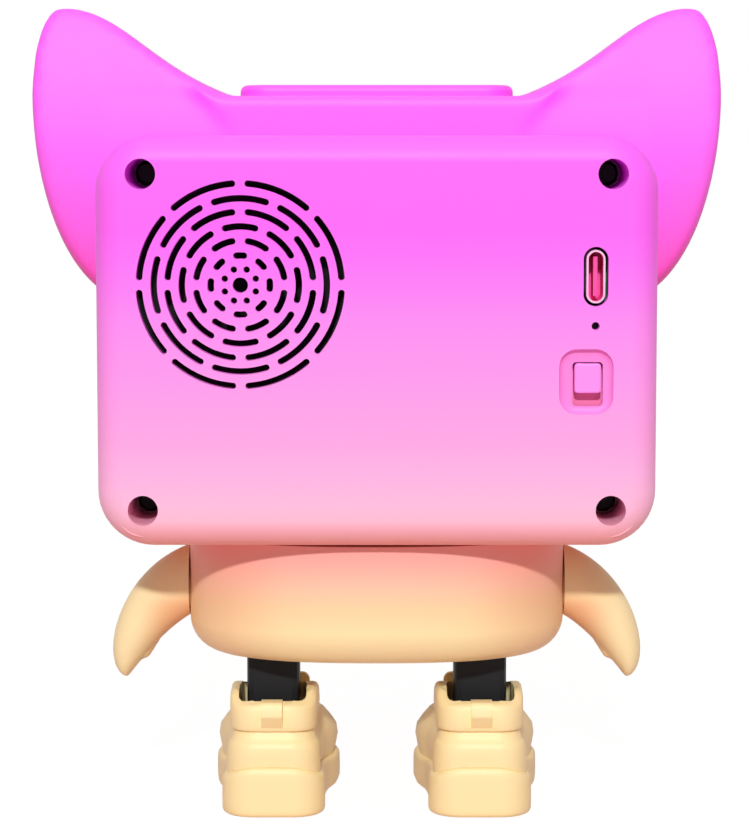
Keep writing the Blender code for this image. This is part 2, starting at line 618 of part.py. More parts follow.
def build_front_housing():
    shell = head_block(0, CROWN_TOP_Z, FRONT_Y, PARTING_Y, FRONT_Y, HEAD_EDGE)
    housing = place("front_housing", shell, PINK_FINISH)
    root = (HEAD_WIDTH / 2, PARTING_Y - SEAM - EAR_THICKNESS / 2, CROWN_TOP_Z)
    ears = [blade(EAR_OUTER_EDGE, EAR_INNER_EDGE, EAR_THICKNESS, root, side, 11, 18) for side in (1, -1)]
    join(housing, *ears)
    cavity_back = PARTING_Y - HEAD_WALL
    cut(housing, head_block(HEAD_WALL, CROWN_TOP_Z, FRONT_INNER_Y, cavity_back, FRONT_INNER_Y, HEAD_EDGE))
    hollows = [blade(EAR_OUTER_EDGE, EAR_INNER_EDGE, EAR_THICKNESS, root, side, 5, 10, EAR_WALL, 0.86)
               for side in (1, -1)]
    half = HEAD_WIDTH / 2 - HEAD_WALL
    opening = rounded((-half, HEAD_FLOOR_Z), (half, COVER_TOP_Z - HEAD_WALL), HEAD_CORNER - HEAD_WALL, 6)
    cut(housing, *hollows, prism(opening, "Y", PARTING_Y - 2 * HEAD_WALL, PARTING_Y + BITE))
    posts = bmesh.new()
    for spot in corner_screws():
        rod("Y", spot, POST_RADIUS, FRONT_INNER_Y - BITE, PARTING_Y, COARSE_COUNT, posts)
    for spot in display_screws():
        rod("Y", spot, SMALL_BOSS, FRONT_INNER_Y - BITE, display_board_face() - SEAM, COARSE_COUNT, posts)
    for spot in button_screws():
        rod("Z", spot, SMALL_BOSS, button_board_top() + SEAM, CROWN_INNER_Z + BITE, COARSE_COUNT, posts)
    join(housing, posts)
    holes = bmesh.new()
    for spot in corner_screws():
        rod("Y", spot, SCREW_SHANK + PIN_FIT, PARTING_Y - SCREW_REACH, PARTING_Y + BITE, COARSE_COUNT, holes)
    for spot in display_screws():
        rod("Y", spot, SMALL_SHANK + PIN_FIT, FRONT_INNER_Y + BITE, display_board_face(), COARSE_COUNT, holes)
    for spot in button_screws():
        rod("Z", spot, SMALL_SHANK + PIN_FIT, button_board_top(), CROWN_INNER_Z - BITE, COARSE_COUNT, holes)
    button = centred((0, BUTTON_Y), BUTTON_WIDTH + 2 * SEAM, BUTTON_DEPTH + 2 * SEAM)
    prism(rounded(*button, BUTTON_CORNER + SEAM), "Z", CROWN_INNER_Z - BITE, CROWN_TOP_Z + BITE, holes)
    rod("Z", (0, NECK_Y), NECK_RADIUS + SEAM, HEAD_BASE_Z - BITE, HEAD_FLOOR_Z + BITE, FINE_COUNT, holes)
    low, high = lens_corners(LENS_LEDGE)
    prism(rounded(low, high, LENS_CORNER - LENS_LEDGE), "Y", FRONT_Y - BITE, FRONT_INNER_Y + BITE, holes)
    low, high = lens_corners(-SEAM)
    recess = prism(rounded(low, high, LENS_CORNER + SEAM), "Y", FRONT_Y - BITE, FRONT_Y + LENS_THICK + SEAM)
    cut(housing, holes, recess)


# Where the small screws and boards sit

def control_board_face():
    return PORT_X - PORT_WIDTH / 2 - SEAM


def control_board_ends():
    return SWITCH_Z - SLOT_HALF_HEIGHT - BOARD_BELOW_SWITCH, PORT_Z + PORT_LENGTH / 2 + BOARD_ABOVE_PORT


def control_board_screws():
    low, high = control_board_ends()
    return low + SMALL_BOSS + BOARD_EDGE, high - SMALL_BOSS - BOARD_EDGE


def control_board_screw_y():
    return COVER_FRONT_Y + CONTROL_SCREW_FRONT + SMALL_BOSS


def lens_corners(inset):
    return ((-HEAD_WIDTH / 2 + LENS_SIDE + inset, HEAD_BASE_Z + LENS_BELOW + inset),
            (HEAD_WIDTH / 2 - LENS_SIDE - inset, CROWN_TOP_Z - LENS_ABOVE - inset))


def display_board_face():
    return FRONT_INNER_Y + SEAM + MODULE_DEPTH + SEAM


def display_board_ends():
    gap = POST_RADIUS + DISPLAY_POST_GAP
    return SCREW_LOW_Z + gap, SCREW_HIGH_Z - gap


def display_screws():
    low, high = display_board_ends()
    across = HEAD_WIDTH / 2 - LENS_SIDE + LENS_LEDGE / 2 + SMALL_BOSS / 4
    heights = (low + DISPLAY_SCREW_END, high - DISPLAY_SCREW_END)
    return [(side * across, height) for side in (1, -1) for height in heights]


def button_board_top():
    return CROWN_INNER_Z - BUTTON_WELL


def button_screws():
    across = BUTTON_WIDTH / 2 + BUTTON_LIP + SMALL_BOSS + BUTTON_SCREW_GAP
    return [(across, BUTTON_Y), (-across, BUTTON_Y)]


# Head contents

def build_cover_screws():
    for number, spot in enumerate(corner_screws(), 1):
        screw(f"cover_screw_{number}", "Y", spot, COVER_FRONT_Y + SCREW_FLOOR, 1, SCREW_REACH)


def build_speaker():
    centre = (SPEAKER_X, SPEAKER_Z)
    rim = COVER_INNER_Y - SEAM
    r = SPEAKER_RADIUS
    back = rim - SPEAKER_DEPTH
    basket = [(r, rim), (r, rim - SPEAKER_RIM), (0.89 * r, rim - SPEAKER_RIM), (0.61 * r, back),
              (0.25 * r, back), (0.25 * r, back + SPEAKER_METAL), (0.57 * r, back + SPEAKER_METAL),
              (0.87 * r, rim)]
    place("speaker_frame", turned(basket, "Y", centre, FINE_COUNT), STEEL_FINISH)
    cone = [(across * r, rim - deep * SPEAKER_DEPTH) for across, deep in CONE_SECTION]
    place("speaker_cone", turned(cone, "Y", centre, FINE_COUNT), BLACK_FINISH)
    top = back - SEAM
    low = top - MAGNET_HEIGHT
    magnet = [(0, top), (MAGNET_SHARE * r, top), (MAGNET_SHARE * r, low), (0, low)]
    place("speaker_magnet", turned(magnet, "Y", centre, FINE_COUNT), STEEL_FINISH)


def build_port():
    mouth = BACK_Y - SEAM
    back = mouth - PORT_REACH
    low, high = centred((PORT_X, PORT_Z), PORT_WIDTH, PORT_LENGTH)
    socket = place("usb_socket", prism(rounded(low, high, PORT_WIDTH / 2, 6), "Y", back, mouth), STEEL_FINISH)
    low, high = centred((PORT_X, PORT_Z), PORT_WIDTH - 2 * PORT_RIM, PORT_LENGTH - 2 * PORT_RIM)
    cut(socket, prism(rounded(low, high, PORT_WIDTH / 2 - PORT_RIM, 6), "Y", back + PORT_FLOOR, mouth + BITE))
    low, high = centred((PORT_X, PORT_Z), TONGUE_WIDTH, TONGUE_LENGTH)
    join(socket, prism(rectangle(low, high), "Y", back + BITE, mouth - TONGUE_BACK))
    capsule = [(0, COVER_INNER_Y - SEAM), (MIC_RADIUS, COVER_INNER_Y - SEAM),
               (MIC_RADIUS, COVER_INNER_Y - SEAM - MIC_LENGTH), (0, COVER_INNER_Y - SEAM - MIC_LENGTH)]
    place("microphone", turned(capsule, "Y", (PORT_X, MIC_Z), COARSE_COUNT), STEEL_FINISH)


def build_control_board():
    face = control_board_face()
    low, high = control_board_ends()
    back = COVER_INNER_Y - SEAM - MIC_LENGTH - SEAM
    outline = rectangle((COVER_FRONT_Y + SEAM, low), (back, high))
    board = place("control_board", prism(outline, "X", face - BOARD, face), GREEN_FINISH)
    holes = bmesh.new()
    for height in control_board_screws():
        rod("X", (control_board_screw_y(), height), SMALL_SHANK + PIN_FIT, face - BOARD - BITE, face + BITE,
            COARSE_COUNT, holes)
    cut(board, holes)
    for number, height in enumerate(control_board_screws(), 1):
        spot = (control_board_screw_y(), height)
        screw(f"control_board_screw_{number}", "X", spot, face, 1, CONTROL_REACH, True)


def build_power_switch():
    face = control_board_face() + SEAM
    top = BACK_Y - DISH_DEPTH - KNOB_STEM
    low = (face, SWITCH_Z - SLOT_HALF_HEIGHT - SWITCH_MARGIN)
    high = (SWITCH_X + SLOT_HALF_WIDTH, SWITCH_Z + SLOT_HALF_HEIGHT + SWITCH_MARGIN)
    place("slide_switch", prism(rectangle(low, high), "Y", top - SWITCH_HEIGHT, top), STEEL_FINISH)
    rest = (SWITCH_X, SWITCH_Z + KNOB_TRAVEL / 2)
    front = BACK_Y - KNOB_RECESS
    knob = prism(rounded(*centred(rest, KNOB_WIDTH, KNOB_HEIGHT), KNOB_CORNER, 2), "Y", top + SEAM, front)
    soften(knob, "Y", front, KNOB_EDGE, 2)
    place("switch_knob", knob, PINK_FINISH, (rest[0], front, rest[1]))


def build_battery():
    base = HEAD_FLOOR_Z + SEAM + NECK_RING_HEIGHT + SEAM + SMALL_HEAD_HEIGHT + 2 * SEAM
    middle = (NECK_Y, base + HOLDER_WALL + SEAM + CELL_RADIUS)
    half = CELL_LENGTH / 2
    end = half + SEAM + HOLDER_WALL
    wide = CELL_RADIUS + SEAM + HOLDER_WALL
    shoulder = half - CELL_NUB
    nub = CELL_NUB_SHARE * CELL_RADIUS
    cell = [(0, -half), (CELL_RADIUS, -half), (CELL_RADIUS, shoulder), (nub, shoulder), (nub, half), (0, half)]
    place("battery_cell", turned(cell, "X", middle, ROUND_COUNT), GREY_FINISH)
    tray = rectangle((middle[0] - wide, base), (middle[0] + wide, middle[1] - SEAM))
    holder = place("battery_holder", prism(tray, "X", -end, end), BLACK_FINISH)
    cut(holder, rod("X", middle, CELL_RADIUS + SEAM, -half - SEAM, half + SEAM, ROUND_COUNT))
    feet = bmesh.new()
    for side in (1, -1):
        low, high = sorted((side * end, side * (end - HOLDER_FOOT)))
        foot = rectangle((middle[0] - wide + BITE, HEAD_FLOOR_Z + SEAM), (middle[0] + wide - BITE, base + BITE))
        prism(foot, "X", low + (side < 0) * BITE / 2, high - (side > 0) * BITE / 2, feet)
    join(holder, feet)


def build_display():
    low, high = lens_corners(0)
    lens = prism(rounded(low, high, LENS_CORNER), "Y", FRONT_Y, FRONT_Y + LENS_THICK)
    place("display_lens", lens, LENS_FINISH)
    low, high = lens_corners(LENS_LEDGE + MODULE_MARGIN)
    middle = (low[1] + high[1]) / 2
    board_low, board_high = display_board_ends()
    half = min(high[1] - middle, middle - board_low, board_high - middle)
    block = rectangle((low[0], middle - half), (high[0], middle + half))
    front = FRONT_INNER_Y + SEAM
    place("led_module", prism(block, "Y", front, front + MODULE_DEPTH), BLACK_FINISH)
    face = display_board_face()
    across = display_screws()[0][0] + SMALL_BOSS
    sheet = rectangle((-across, board_low), (across, board_high))
    board = place("display_board", prism(sheet, "Y", face, face + BOARD), GREEN_FINISH)
    holes = bmesh.new()
    for spot in display_screws():
        rod("Y", spot, SMALL_SHANK + PIN_FIT, face - BITE, face + BOARD + BITE, COARSE_COUNT, holes)
    cut(board, holes)
    for number, spot in enumerate(display_screws(), 1):
        screw(f"display_board_screw_{number}", "Y", spot, face + BOARD, 1, SMALL_REACH, True)


def build_snooze_button():
    under = CROWN_INNER_Z - SEAM
    top = CROWN_TOP_Z + BUTTON_PROUD
    outline = rounded(*centred((0, BUTTON_Y), BUTTON_WIDTH, BUTTON_DEPTH), BUTTON_CORNER)
    plate = soften(prism(outline, "Z", under - BITE, top), "Z", top, BUTTON_EDGE, 3)
    button = place("snooze_button", plate, PINK_FINISH, (0, BUTTON_Y, CROWN_TOP_Z))
    lip = centred((0, BUTTON_Y), BUTTON_WIDTH + 2 * BUTTON_LIP, BUTTON_DEPTH + 2 * BUTTON_LIP)
    flange = prism(rounded(*lip, BUTTON_CORNER + BUTTON_LIP), "Z", under - BUTTON_FLANGE, under)
    board_top = button_board_top()
    plunger = board_top + SEAM + TACT_HEIGHT + TACT_PLUNGER
    stem = rod("Z", (0, BUTTON_Y), BUTTON_STEM, plunger + BUTTON_TRAVEL + SEAM, under - BITE, COARSE_COUNT)
    join(button, flange, stem)
    body = prism(rectangle(*centred((0, BUTTON_Y), TACT_SIZE, TACT_SIZE)), "Z", board_top + SEAM,
                 board_top + SEAM + TACT_HEIGHT)
    tact = place("tact_switch", body, BLACK_FINISH)
    plunger_radius = TACT_SIZE * TACT_PLUNGER_SHARE
    join(tact, rod("Z", (0, BUTTON_Y), plunger_radius, board_top + TACT_HEIGHT, plunger, COARSE_COUNT))
    across = button_screws()[0][0] + SMALL_BOSS + BOARD_EDGE
    outline = rectangle((-across, BUTTON_Y - BUTTON_BOARD_HALF), (across, BUTTON_Y + BUTTON_BOARD_HALF))
    board = place("button_board", prism(outline, "Z", board_top - BOARD, board_top), GREEN_FINISH)
    holes = bmesh.new()
    for spot in button_screws():
        rod("Z", spot, SMALL_SHANK + PIN_FIT, board_top - BOARD - BITE, board_top + BITE, COARSE_COUNT, holes)
    cut(board, holes)
    for number, spot in enumerate(button_screws(), 1):
        screw(f"button_board_screw_{number}", "Z", spot, board_top - BOARD, -1, SMALL_REACH, True)


# Neck and torso

def neck_screws():
    ring = (NECK_BORE + NECK_RADIUS) / 2
    return [(ring * math.cos(angle), NECK_Y + ring * math.sin(angle))
            for angle in (math.pi / 2, math.pi * 7 / 6, math.pi * 11 / 6)]


def build_neck():
    low = HEAD_FLOOR_Z + SEAM
    top = low + NECK_RING_HEIGHT
    ring = [(NECK_BORE, low), (NECK_RING_RADIUS, low), (NECK_RING_RADIUS, top), (NECK_BORE, top)]
    collar = place("neck_ring", turned(ring, "Z", (0, NECK_Y), FINE_COUNT), BLACK_FINISH)
    holes = bmesh.new()
    for spot in neck_screws():
        rod("Z", spot, SMALL_SHANK + PIN_FIT, low - BITE, top + BITE, COARSE_COUNT, holes)
    cut(collar, holes)
    for number, spot in enumerate(neck_screws(), 1):
        screw(f"neck_screw_{number}", "Z", spot, top, 1, SMALL_REACH, True)


def torso_outline(inset):
    across = TORSO_WIDTH / 2 - inset
    deep = TORSO_DEPTH / 2 - inset
    points = []
    for step in range(TORSO_COUNT):
        angle = 2 * math.pi * (step + 0.5) / TORSO_COUNT
        c = math.cos(angle)
        s = math.sin(angle)
        points.append((math.copysign(across * abs(c) ** (2 / TORSO_POWER), c),
                       math.copysign(deep * abs(s) ** (2 / TORSO_POWER), s)))
    return points


def chassis_screws():
    return [(side * (HIP_X - CHASSIS_SCREW_INSET), -TORSO_DEPTH / 4) for side in (1, -1)]


def leg_slot(side):
    swing = (HIP_Z - TORSO_FLOOR_Z) * math.tan(SWAY)
    half = LEG_WIDTH / 2 / math.cos(SWAY) + swing + SWING_GAP
    across = sorted((side * (HIP_X - half), side * (HIP_X + half + LEG_NOTCH)))
    deep = LEG_DEPTH / 2 + SWING_GAP
    return (across[0], LEG_Y - deep), (across[1], LEG_Y + deep)


def build_torso():
    seat = CHASSIS_LOW_Z - SEAM
    outer = prism(torso_outline(0), "Z", TORSO_FLOOR_Z, TORSO_TOP_Z)
    shell = place("torso_shell", soften(outer, "Z", TORSO_FLOOR_Z, TORSO_EDGE, 4), PEACH_FINISH)
    floor = TORSO_FLOOR_Z + TORSO_WALL
    inner = prism(torso_outline(TORSO_WALL), "Z", floor, TORSO_TOP_Z + BITE)
    cut(shell, soften(inner, "Z", floor, max(TORSO_EDGE - TORSO_WALL, SEAM), 3))
    face = TORSO_WIDTH / 2 + SEAM
    bosses = bmesh.new()
    for side in (1, -1):
        low, high = sorted((side * (face - TORSO_WALL), side * face))
        rod("X", (0, SHOULDER_Z), SHOULDER_BOSS, low, high, ROUND_COUNT, bosses)
    for spot in chassis_screws():
        rod("Z", spot, SMALL_BOSS, floor - BITE, seat, COARSE_COUNT, bosses)
    join(shell, bosses)
    holes = bmesh.new()
    for side in (1, -1):
        low, high = sorted((side * (face - 3 * TORSO_WALL), side * (face + BITE)))
        rod("X", (0, SHOULDER_Z), PIN_RADIUS + PIN_FIT, low, high, COARSE_COUNT, holes)
        slot = rounded(*leg_slot(side), LEG_SLOT_CORNER, 3)
        prism(slot, "Z", TORSO_FLOOR_Z - BITE, floor + TORSO_EDGE, holes)
    for spot in chassis_screws():
        rod("Z", spot, SMALL_SHANK + PIN_FIT, seat - SMALL_REACH, seat + BITE, COARSE_COUNT, holes)
    cut(shell, holes)
    build_chassis()


def build_chassis():
    plate = prism(torso_outline(TORSO_WALL + SEAM), "Z", CHASSIS_LOW_Z, TORSO_TOP_Z)
    chassis = place("torso_chassis", soften(plate, "Z", TORSO_TOP_Z, CHASSIS_EDGE, 1), SALMON_FINISH)
    join(chassis, rod("Z", (0, NECK_Y), NECK_RADIUS, TORSO_TOP_Z - BITE, HEAD_FLOOR_Z, FINE_COUNT))
    across = HIP_X + PIN_HEAD + CHEEK_MARGIN
    low = HIP_Z - PIN_HEAD - CHEEK_BELOW
    cheeks = bmesh.new()
    for near, far in bearing_plates():
        prism(rectangle((-across, near), (across, far)), "Z", low, CHASSIS_LOW_Z + BITE, cheeks)
    join(chassis, cheeks)
    holes = bmesh.new()
    front, back = bearing_plates()
    for place_x, radius in ((HIP_X, PIN_RADIUS), (-HIP_X, PIN_RADIUS), (0, SHAFT_RADIUS)):
        rod("Y", (place_x, HIP_Z), radius + PIN_FIT, front[0] - BITE, back[1] + BITE, COARSE_COUNT, holes)
    rod("Z", (0, NECK_Y), NECK_BORE, CHASSIS_LOW_Z - BITE, HEAD_FLOOR_Z + BITE, COARSE_COUNT, holes)
    for spot in neck_screws():
        rod("Z", spot, SMALL_SHANK + PIN_FIT, CHASSIS_LOW_Z + NECK_HOLE_FLOOR, HEAD_FLOOR_Z + BITE,
            COARSE_COUNT, holes)
    seat = TORSO_TOP_Z - SMALL_HEAD_HEIGHT - 2 * SEAM
    bore = SMALL_SHANK + PIN_FIT
    wide = SMALL_HEAD + SEAM
    well = [(0, CHASSIS_LOW_Z - BITE), (bore, CHASSIS_LOW_Z - BITE), (bore, seat), (wide, seat),
            (wide, TORSO_TOP_Z + BITE), (0, TORSO_TOP_Z + BITE)]
    for spot in chassis_screws():
        turned(well, "Z", spot, COARSE_COUNT, holes)
    cut(chassis, holes)
    for number, spot in enumerate(chassis_screws(), 1):
        screw(f"chassis_screw_{number}", "Z", spot, seat, 1, SMALL_REACH, True)


# Legs and their drive

def bearing_plates():
    """Front and back of the two plates that hold the hip pins."""
    gap = LEG_DEPTH / 2 + SWING_GAP
    return (LEG_Y - gap - BEARING_PLATE, LEG_Y - gap), (LEG_Y + gap, LEG_Y + gap + BEARING_PLATE)


def involute(angle):
    return math.tan(angle) - angle


def teeth_outline(teeth, pitch, centres):
    """Outline of involute teeth about the given tooth middles, from the gear's own centre."""
    base = pitch * math.cos(PRESSURE_ANGLE)
    root = pitch - DEDENDUM * GEAR_MODULE
    tip = pitch + ADDENDUM * GEAR_MODULE
    half_pitch_angle = math.pi / (2 * teeth) - BACKLASH / (2 * pitch)
    flank = []
    for share in (0, 0.3, 0.55, 0.8, 1):
        radius = root + (tip - root) * share
        roll = math.acos(min(1.0, base / radius))
        flank.append((radius, half_pitch_angle + involute(PRESSURE_ANGLE) - involute(roll)))
    points = []
    for middle in centres:
        for radius, half in flank:
            points.append((radius * math.cos(middle - half), radius * math.sin(middle - half)))
        for radius, half in reversed(flank):
            points.append((radius * math.cos(middle + half), radius * math.sin(middle + half)))
    return points


def shifted(outline, across, up):
    return [(u + across, v + up) for u, v in outline]


def build_drive():
    centres = [2 * math.pi * number / DRIVE_TEETH for number in range(DRIVE_TEETH)]
    outline = shifted(teeth_outline(DRIVE_TEETH, DRIVE_PITCH, centres), 0, HIP_Z)
    pivot = (0, LEG_Y, HIP_Z)
    wheel = prism(outline, "Y", LEG_Y - GEAR_WIDTH / 2, LEG_Y + GEAR_WIDTH / 2)
    gear = place("drive_gear", wheel, CREAM_FINISH, pivot)
    front, back = bearing_plates()
    cut(gear, rod("Y", (0, HIP_Z), SHAFT_RADIUS + PIN_FIT, front[0], back[1], COARSE_COUNT))
    shaft = rod("Y", (0, HIP_Z), SHAFT_RADIUS, front[0], back[1], COARSE_COUNT)
    place("drive_shaft", shaft, STEEL_FINISH, pivot)
    nose = front[0] - SEAM
    tail = nose - MOTOR_LENGTH
    motor = [(0, nose), (MOTOR_RADIUS, nose), (MOTOR_RADIUS, tail), (MOTOR_RADIUS / 2, tail),
             (MOTOR_RADIUS / 2, tail - MOTOR_CAP), (0, tail - MOTOR_CAP)]
    place("sway_motor", turned(motor, "Y", (0, HIP_Z), ROUND_COUNT), STEEL_FINISH)


def build_leg(side, label):
    hip = side * HIP_X
    pivot = (hip, LEG_Y, HIP_Z)
    outline = arc((hip, HIP_Z), LEG_WIDTH / 2, 0, math.pi, LEG_END_COUNT)
    outline += arc((hip, ANKLE_Z), LEG_WIDTH / 2, math.pi, 2 * math.pi, LEG_END_COUNT)
    post = prism(outline, "Y", LEG_Y - LEG_DEPTH / 2, LEG_Y + LEG_DEPTH / 2)
    for level in (LEG_Y - LEG_DEPTH / 2, LEG_Y + LEG_DEPTH / 2):
        soften(post, "Y", level, LEG_EDGE, 2)
    leg = place(f"{label}_leg", post, BLACK_FINISH, pivot)
    inward = math.pi if side > 0 else 0
    step = 2 * math.pi / SECTOR_TEETH
    centres = [inward + (number - (SECTOR_CUT - 1) / 2) * step for number in range(SECTOR_CUT)]
    hub = side * LEG_WIDTH / 4
    sector = [(0, hub)] + teeth_outline(SECTOR_TEETH, SECTOR_PITCH, centres) + [(0, -hub)]
    join(leg, prism(shifted(sector, hip, HIP_Z), "Y", LEG_Y - GEAR_WIDTH / 2, LEG_Y + GEAR_WIDTH / 2))
    holes = bmesh.new()
    for height in (HIP_Z, ANKLE_Z):
        rod("Y", (hip, height), PIN_RADIUS + PIN_FIT, LEG_Y - LEG_DEPTH, LEG_Y + LEG_DEPTH, COARSE_COUNT, holes)
    cut(leg, holes)
    front, back = bearing_plates()
    seat = back[1] + SEAM
    head = seat + PIN_HEAD_HEIGHT
    tip = front[0]
    pin = [(0, head), (PIN_HEAD, head), (PIN_HEAD, seat), (PIN_RADIUS, seat), (PIN_RADIUS, tip), (0, tip)]
    place(f"{label}_hip_pin", turned(pin, "Y", (hip, HIP_Z), COARSE_COUNT), STEEL_FINISH)


# Arms

def build_arm(side, label):
    face = TORSO_WIDTH / 2 + 2 * SEAM
    pivot = (side * face, 0, SHOULDER_Z)
    limb = blade(ARM_OUTER_EDGE, ARM_INNER_EDGE, ARM_THICKNESS, (face, 0, SHOULDER_Z), side, 10, 16)
    arm = place(f"{label}_arm", limb, PEACH_FINISH, pivot)
    thumb = bmesh.new()
    bmesh.ops.create_uvsphere(thumb, u_segments=10, v_segments=7, radius=THUMB_RADIUS)
    spot = (side * (face + THUMB_AT[0] * MM), 0, SHOULDER_Z + THUMB_AT[1] * MM)
    bmesh.ops.translate(thumb, verts=thumb.verts, vec=spot)
    join(arm, thumb)
    low, high = sorted((side * (face - BITE), side * (face + ARM_PIN_REACH + SEAM)))
    cut(arm, rod("X", (0, SHOULDER_Z), PIN_RADIUS + PIN_FIT, low, high, COARSE_COUNT))
    seat = TORSO_WIDTH / 2 - TORSO_WALL - SEAM
    end = face + ARM_PIN_REACH
    head = seat - PIN_HEAD_HEIGHT
    pin = [(0, side * head), (PIN_HEAD, side * head), (PIN_HEAD, side * seat), (PIN_RADIUS, side * seat),
           (PIN_RADIUS, side * end), (0, side * end)]
    place(f"{label}_shoulder_pin", turned(pin, "X", (0, SHOULDER_Z), COARSE_COUNT), STEEL_FINISH)


# Shoes

def egg(middle, heel_y, heel_half, toe_y, toe_half, steps=4):
    """Shoe outline from above: a square-cornered heel and a rounder, wider toe joined by straight sides."""
    heel = HEEL_ROUND * heel_half
    toe = TOE_ROUND * toe_half
    points = arc((middle + heel_half - heel, heel_y - heel), heel, 0, math.pi / 2, steps)
    points += arc((middle - heel_half + heel, heel_y - heel), heel, math.pi / 2, math.pi, steps)
    points += arc((middle - toe_half + toe, toe_y + toe), toe, math.pi, 1.5 * math.pi, steps)
    points += arc((middle + toe_half - toe, toe_y + toe), toe, 1.5 * math.pi, 2 * math.pi, steps)
    return points


def level_ring(outline, height):
    return [(u, v, height) for u, v in outline]


def shoe_collar(middle, grow=0.0):
    """Leg opening of the shoe: room for the leg to lean, with a wall outside it."""
    lean = (COLLAR_Z - ANKLE_Z) * math.tan(SWAY)
    across = LEG_WIDTH / math.cos(SWAY) + 2 * (lean + SWING_GAP)
    return centred((middle, LEG_Y), across + 2 * grow, LEG_DEPTH + 2 * (SWING_GAP + grow))


def upper_shape(middle):
    """Rings from the sole line up over the toe box to the collar."""
    collar = shoe_collar(middle, COLLAR_WALL)
    neck_radius = (collar[1][0] - collar[0][0]) / 2
    neck_back = max(collar[1][1], UPPER_HEEL_Y - NECK_BEHIND)
    neck_front = collar[0][1] - NECK_AHEAD
    heel = HEEL_HALF - UPPER_INSET
    toe = TOE_HALF - UPPER_INSET
    back = UPPER_HEEL_Y
    front = TOE_Y + UPPER_INSET
    slope = neck_front - front
    rim = neck_radius - COLLAR_ROLL
    levels = ((0, back, heel, front, toe), (0.22, back, heel, front + 0.02 * slope, toe),
              (0.4, back - UPPER_SWELL, heel - UPPER_SWELL, front + 0.2 * slope, toe * 0.93),
              (0.54, back - UPPER_TUCK, max(heel - UPPER_TUCK, neck_radius), front + 0.55 * slope, toe * 0.8),
              (0.66, neck_back, neck_radius, front + 0.9 * slope, neck_radius * 1.02),
              (0.82, neck_back + UPPER_SWELL, neck_radius + UPPER_SWELL, neck_front, neck_radius),
              (0.96, neck_back, neck_radius, neck_front, neck_radius),
              (1, neck_back - COLLAR_ROLL, rim, neck_front + COLLAR_ROLL, rim))
    rings = []
    for share, back_y, heel_radius, front_y, toe_radius in levels:
        outline = egg(middle, back_y, heel_radius, front_y, toe_radius)
        rings.append(level_ring(outline, UPPER_BASE_Z + share * COLLAR_HEIGHT))
    return skin(rings)


def build_shoe(side, label):
    middle = side * HIP_X
    shoe_middle = side * (HIP_X - SHOE_INSET)
    pivot = (middle, LEG_Y, ANKLE_Z)
    upper = place(f"{label}_shoe_upper", upper_shape(shoe_middle), CREAM_FINISH, pivot)
    low = (middle - HEEL_TAB_WIDTH / 2, COLLAR_Z - HEEL_TAB_HEIGHT)
    high = (middle + HEEL_TAB_WIDTH / 2, COLLAR_Z - HEEL_TAB_DROP)
    tab = prism(rounded(low, high, HEEL_TAB_CORNER, 2), "Y", LEG_Y + LEG_DEPTH / 2 + SWING_GAP + HEEL_TAB_ROOT,
                UPPER_HEEL_Y - NECK_BEHIND + HEEL_TAB_PROUD)
    join(upper, tab)
    low, high = shoe_collar(middle)
    cut(upper, prism(rounded(low, high, LEG_SLOT_CORNER, 3), "Z", UPPER_BASE_Z - BITE, COLLAR_Z + BITE))
    pin_front = LEG_Y - LEG_DEPTH / 2 - SWING_GAP - ANKLE_PIN_REACH
    pin_back = LEG_Y + LEG_DEPTH / 2 + SWING_GAP + ANKLE_PIN_REACH
    ankle = (middle, ANKLE_Z)
    cut(upper, rod("Y", ankle, PIN_RADIUS + PIN_FIT, pin_front - SEAM, pin_back + SEAM, COARSE_COUNT))
    pin = rod("Y", ankle, PIN_RADIUS, pin_front, pin_back, COARSE_COUNT)
    place(f"{label}_ankle_pin", pin, STEEL_FINISH, pivot)
    outline = egg(shoe_middle, HEEL_Y, HEEL_HALF, TOE_Y, TOE_HALF)
    block = soften(prism(outline, "Z", SOLE_LIFT, SOLE_HEIGHT), "Z", SOLE_LIFT, SOLE_EDGE, 2)
    sole = place(f"{label}_shoe_sole", soften(block, "Z", SOLE_HEIGHT, SOLE_EDGE, 2), CREAM_FINISH, pivot)
    inset = PAD_INSET
    hollow = egg(shoe_middle, HEEL_Y - inset, HEEL_HALF - inset, TOE_Y + inset, TOE_HALF - inset)
    cut(sole, prism(hollow, "Z", SOLE_LIFT - BITE, PAD_HEIGHT + SEAM))
    inset = PAD_INSET + SEAM
    pad = egg(shoe_middle, HEEL_Y - inset, HEEL_HALF - inset, TOE_Y + inset, TOE_HALF - inset)
    place(f"{label}_sole_pad", prism(pad, "Z", 0, PAD_HEIGHT), BLACK_FINISH, pivot)


clear_scene()
FIGURE = bpy.data.objects.new("figure", None)
bpy.context.scene.collection.objects.link(FIGURE)
PINK_FINISH = finish("pink plastic", PINK, 0.45)
SALMON_FINISH = finish("salmon plastic", SALMON, 0.45)
PEACH_FINISH = finish("peach plastic", PEACH, 0.45)
CREAM_FINISH = finish("cream plastic", CREAM, 0.45)
BLACK_FINISH = finish("black plastic", BLACK, 0.5)
GREY_FINISH = finish("grey sleeve", GREY, 0.5)
GREEN_FINISH = finish("green board", GREEN, 0.5)
STEEL_FINISH = finish("steel", STEEL, 0.35, 1.0)
LENS_FINISH = finish("dark lens", BLACK, 0.12)

build_front_housing()
build_rear_cover()
build_cover_screws()
build_speaker()
build_port()
build_control_board()
build_power_switch()
build_battery()
build_display()
build_snooze_button()
build_neck()
build_torso()
build_drive()
for figure_side, side_label in ((1, "left"), (-1, "right")):
    build_leg(figure_side, side_label)
    build_arm(figure_side, side_label)
    build_shoe(figure_side, side_label)
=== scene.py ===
"""Looks of a small swaying alarm clock with cat ears, built round its CAD frame and seen from behind."""

import math

import bmesh
import bpy
from mathutils import Matrix, Vector


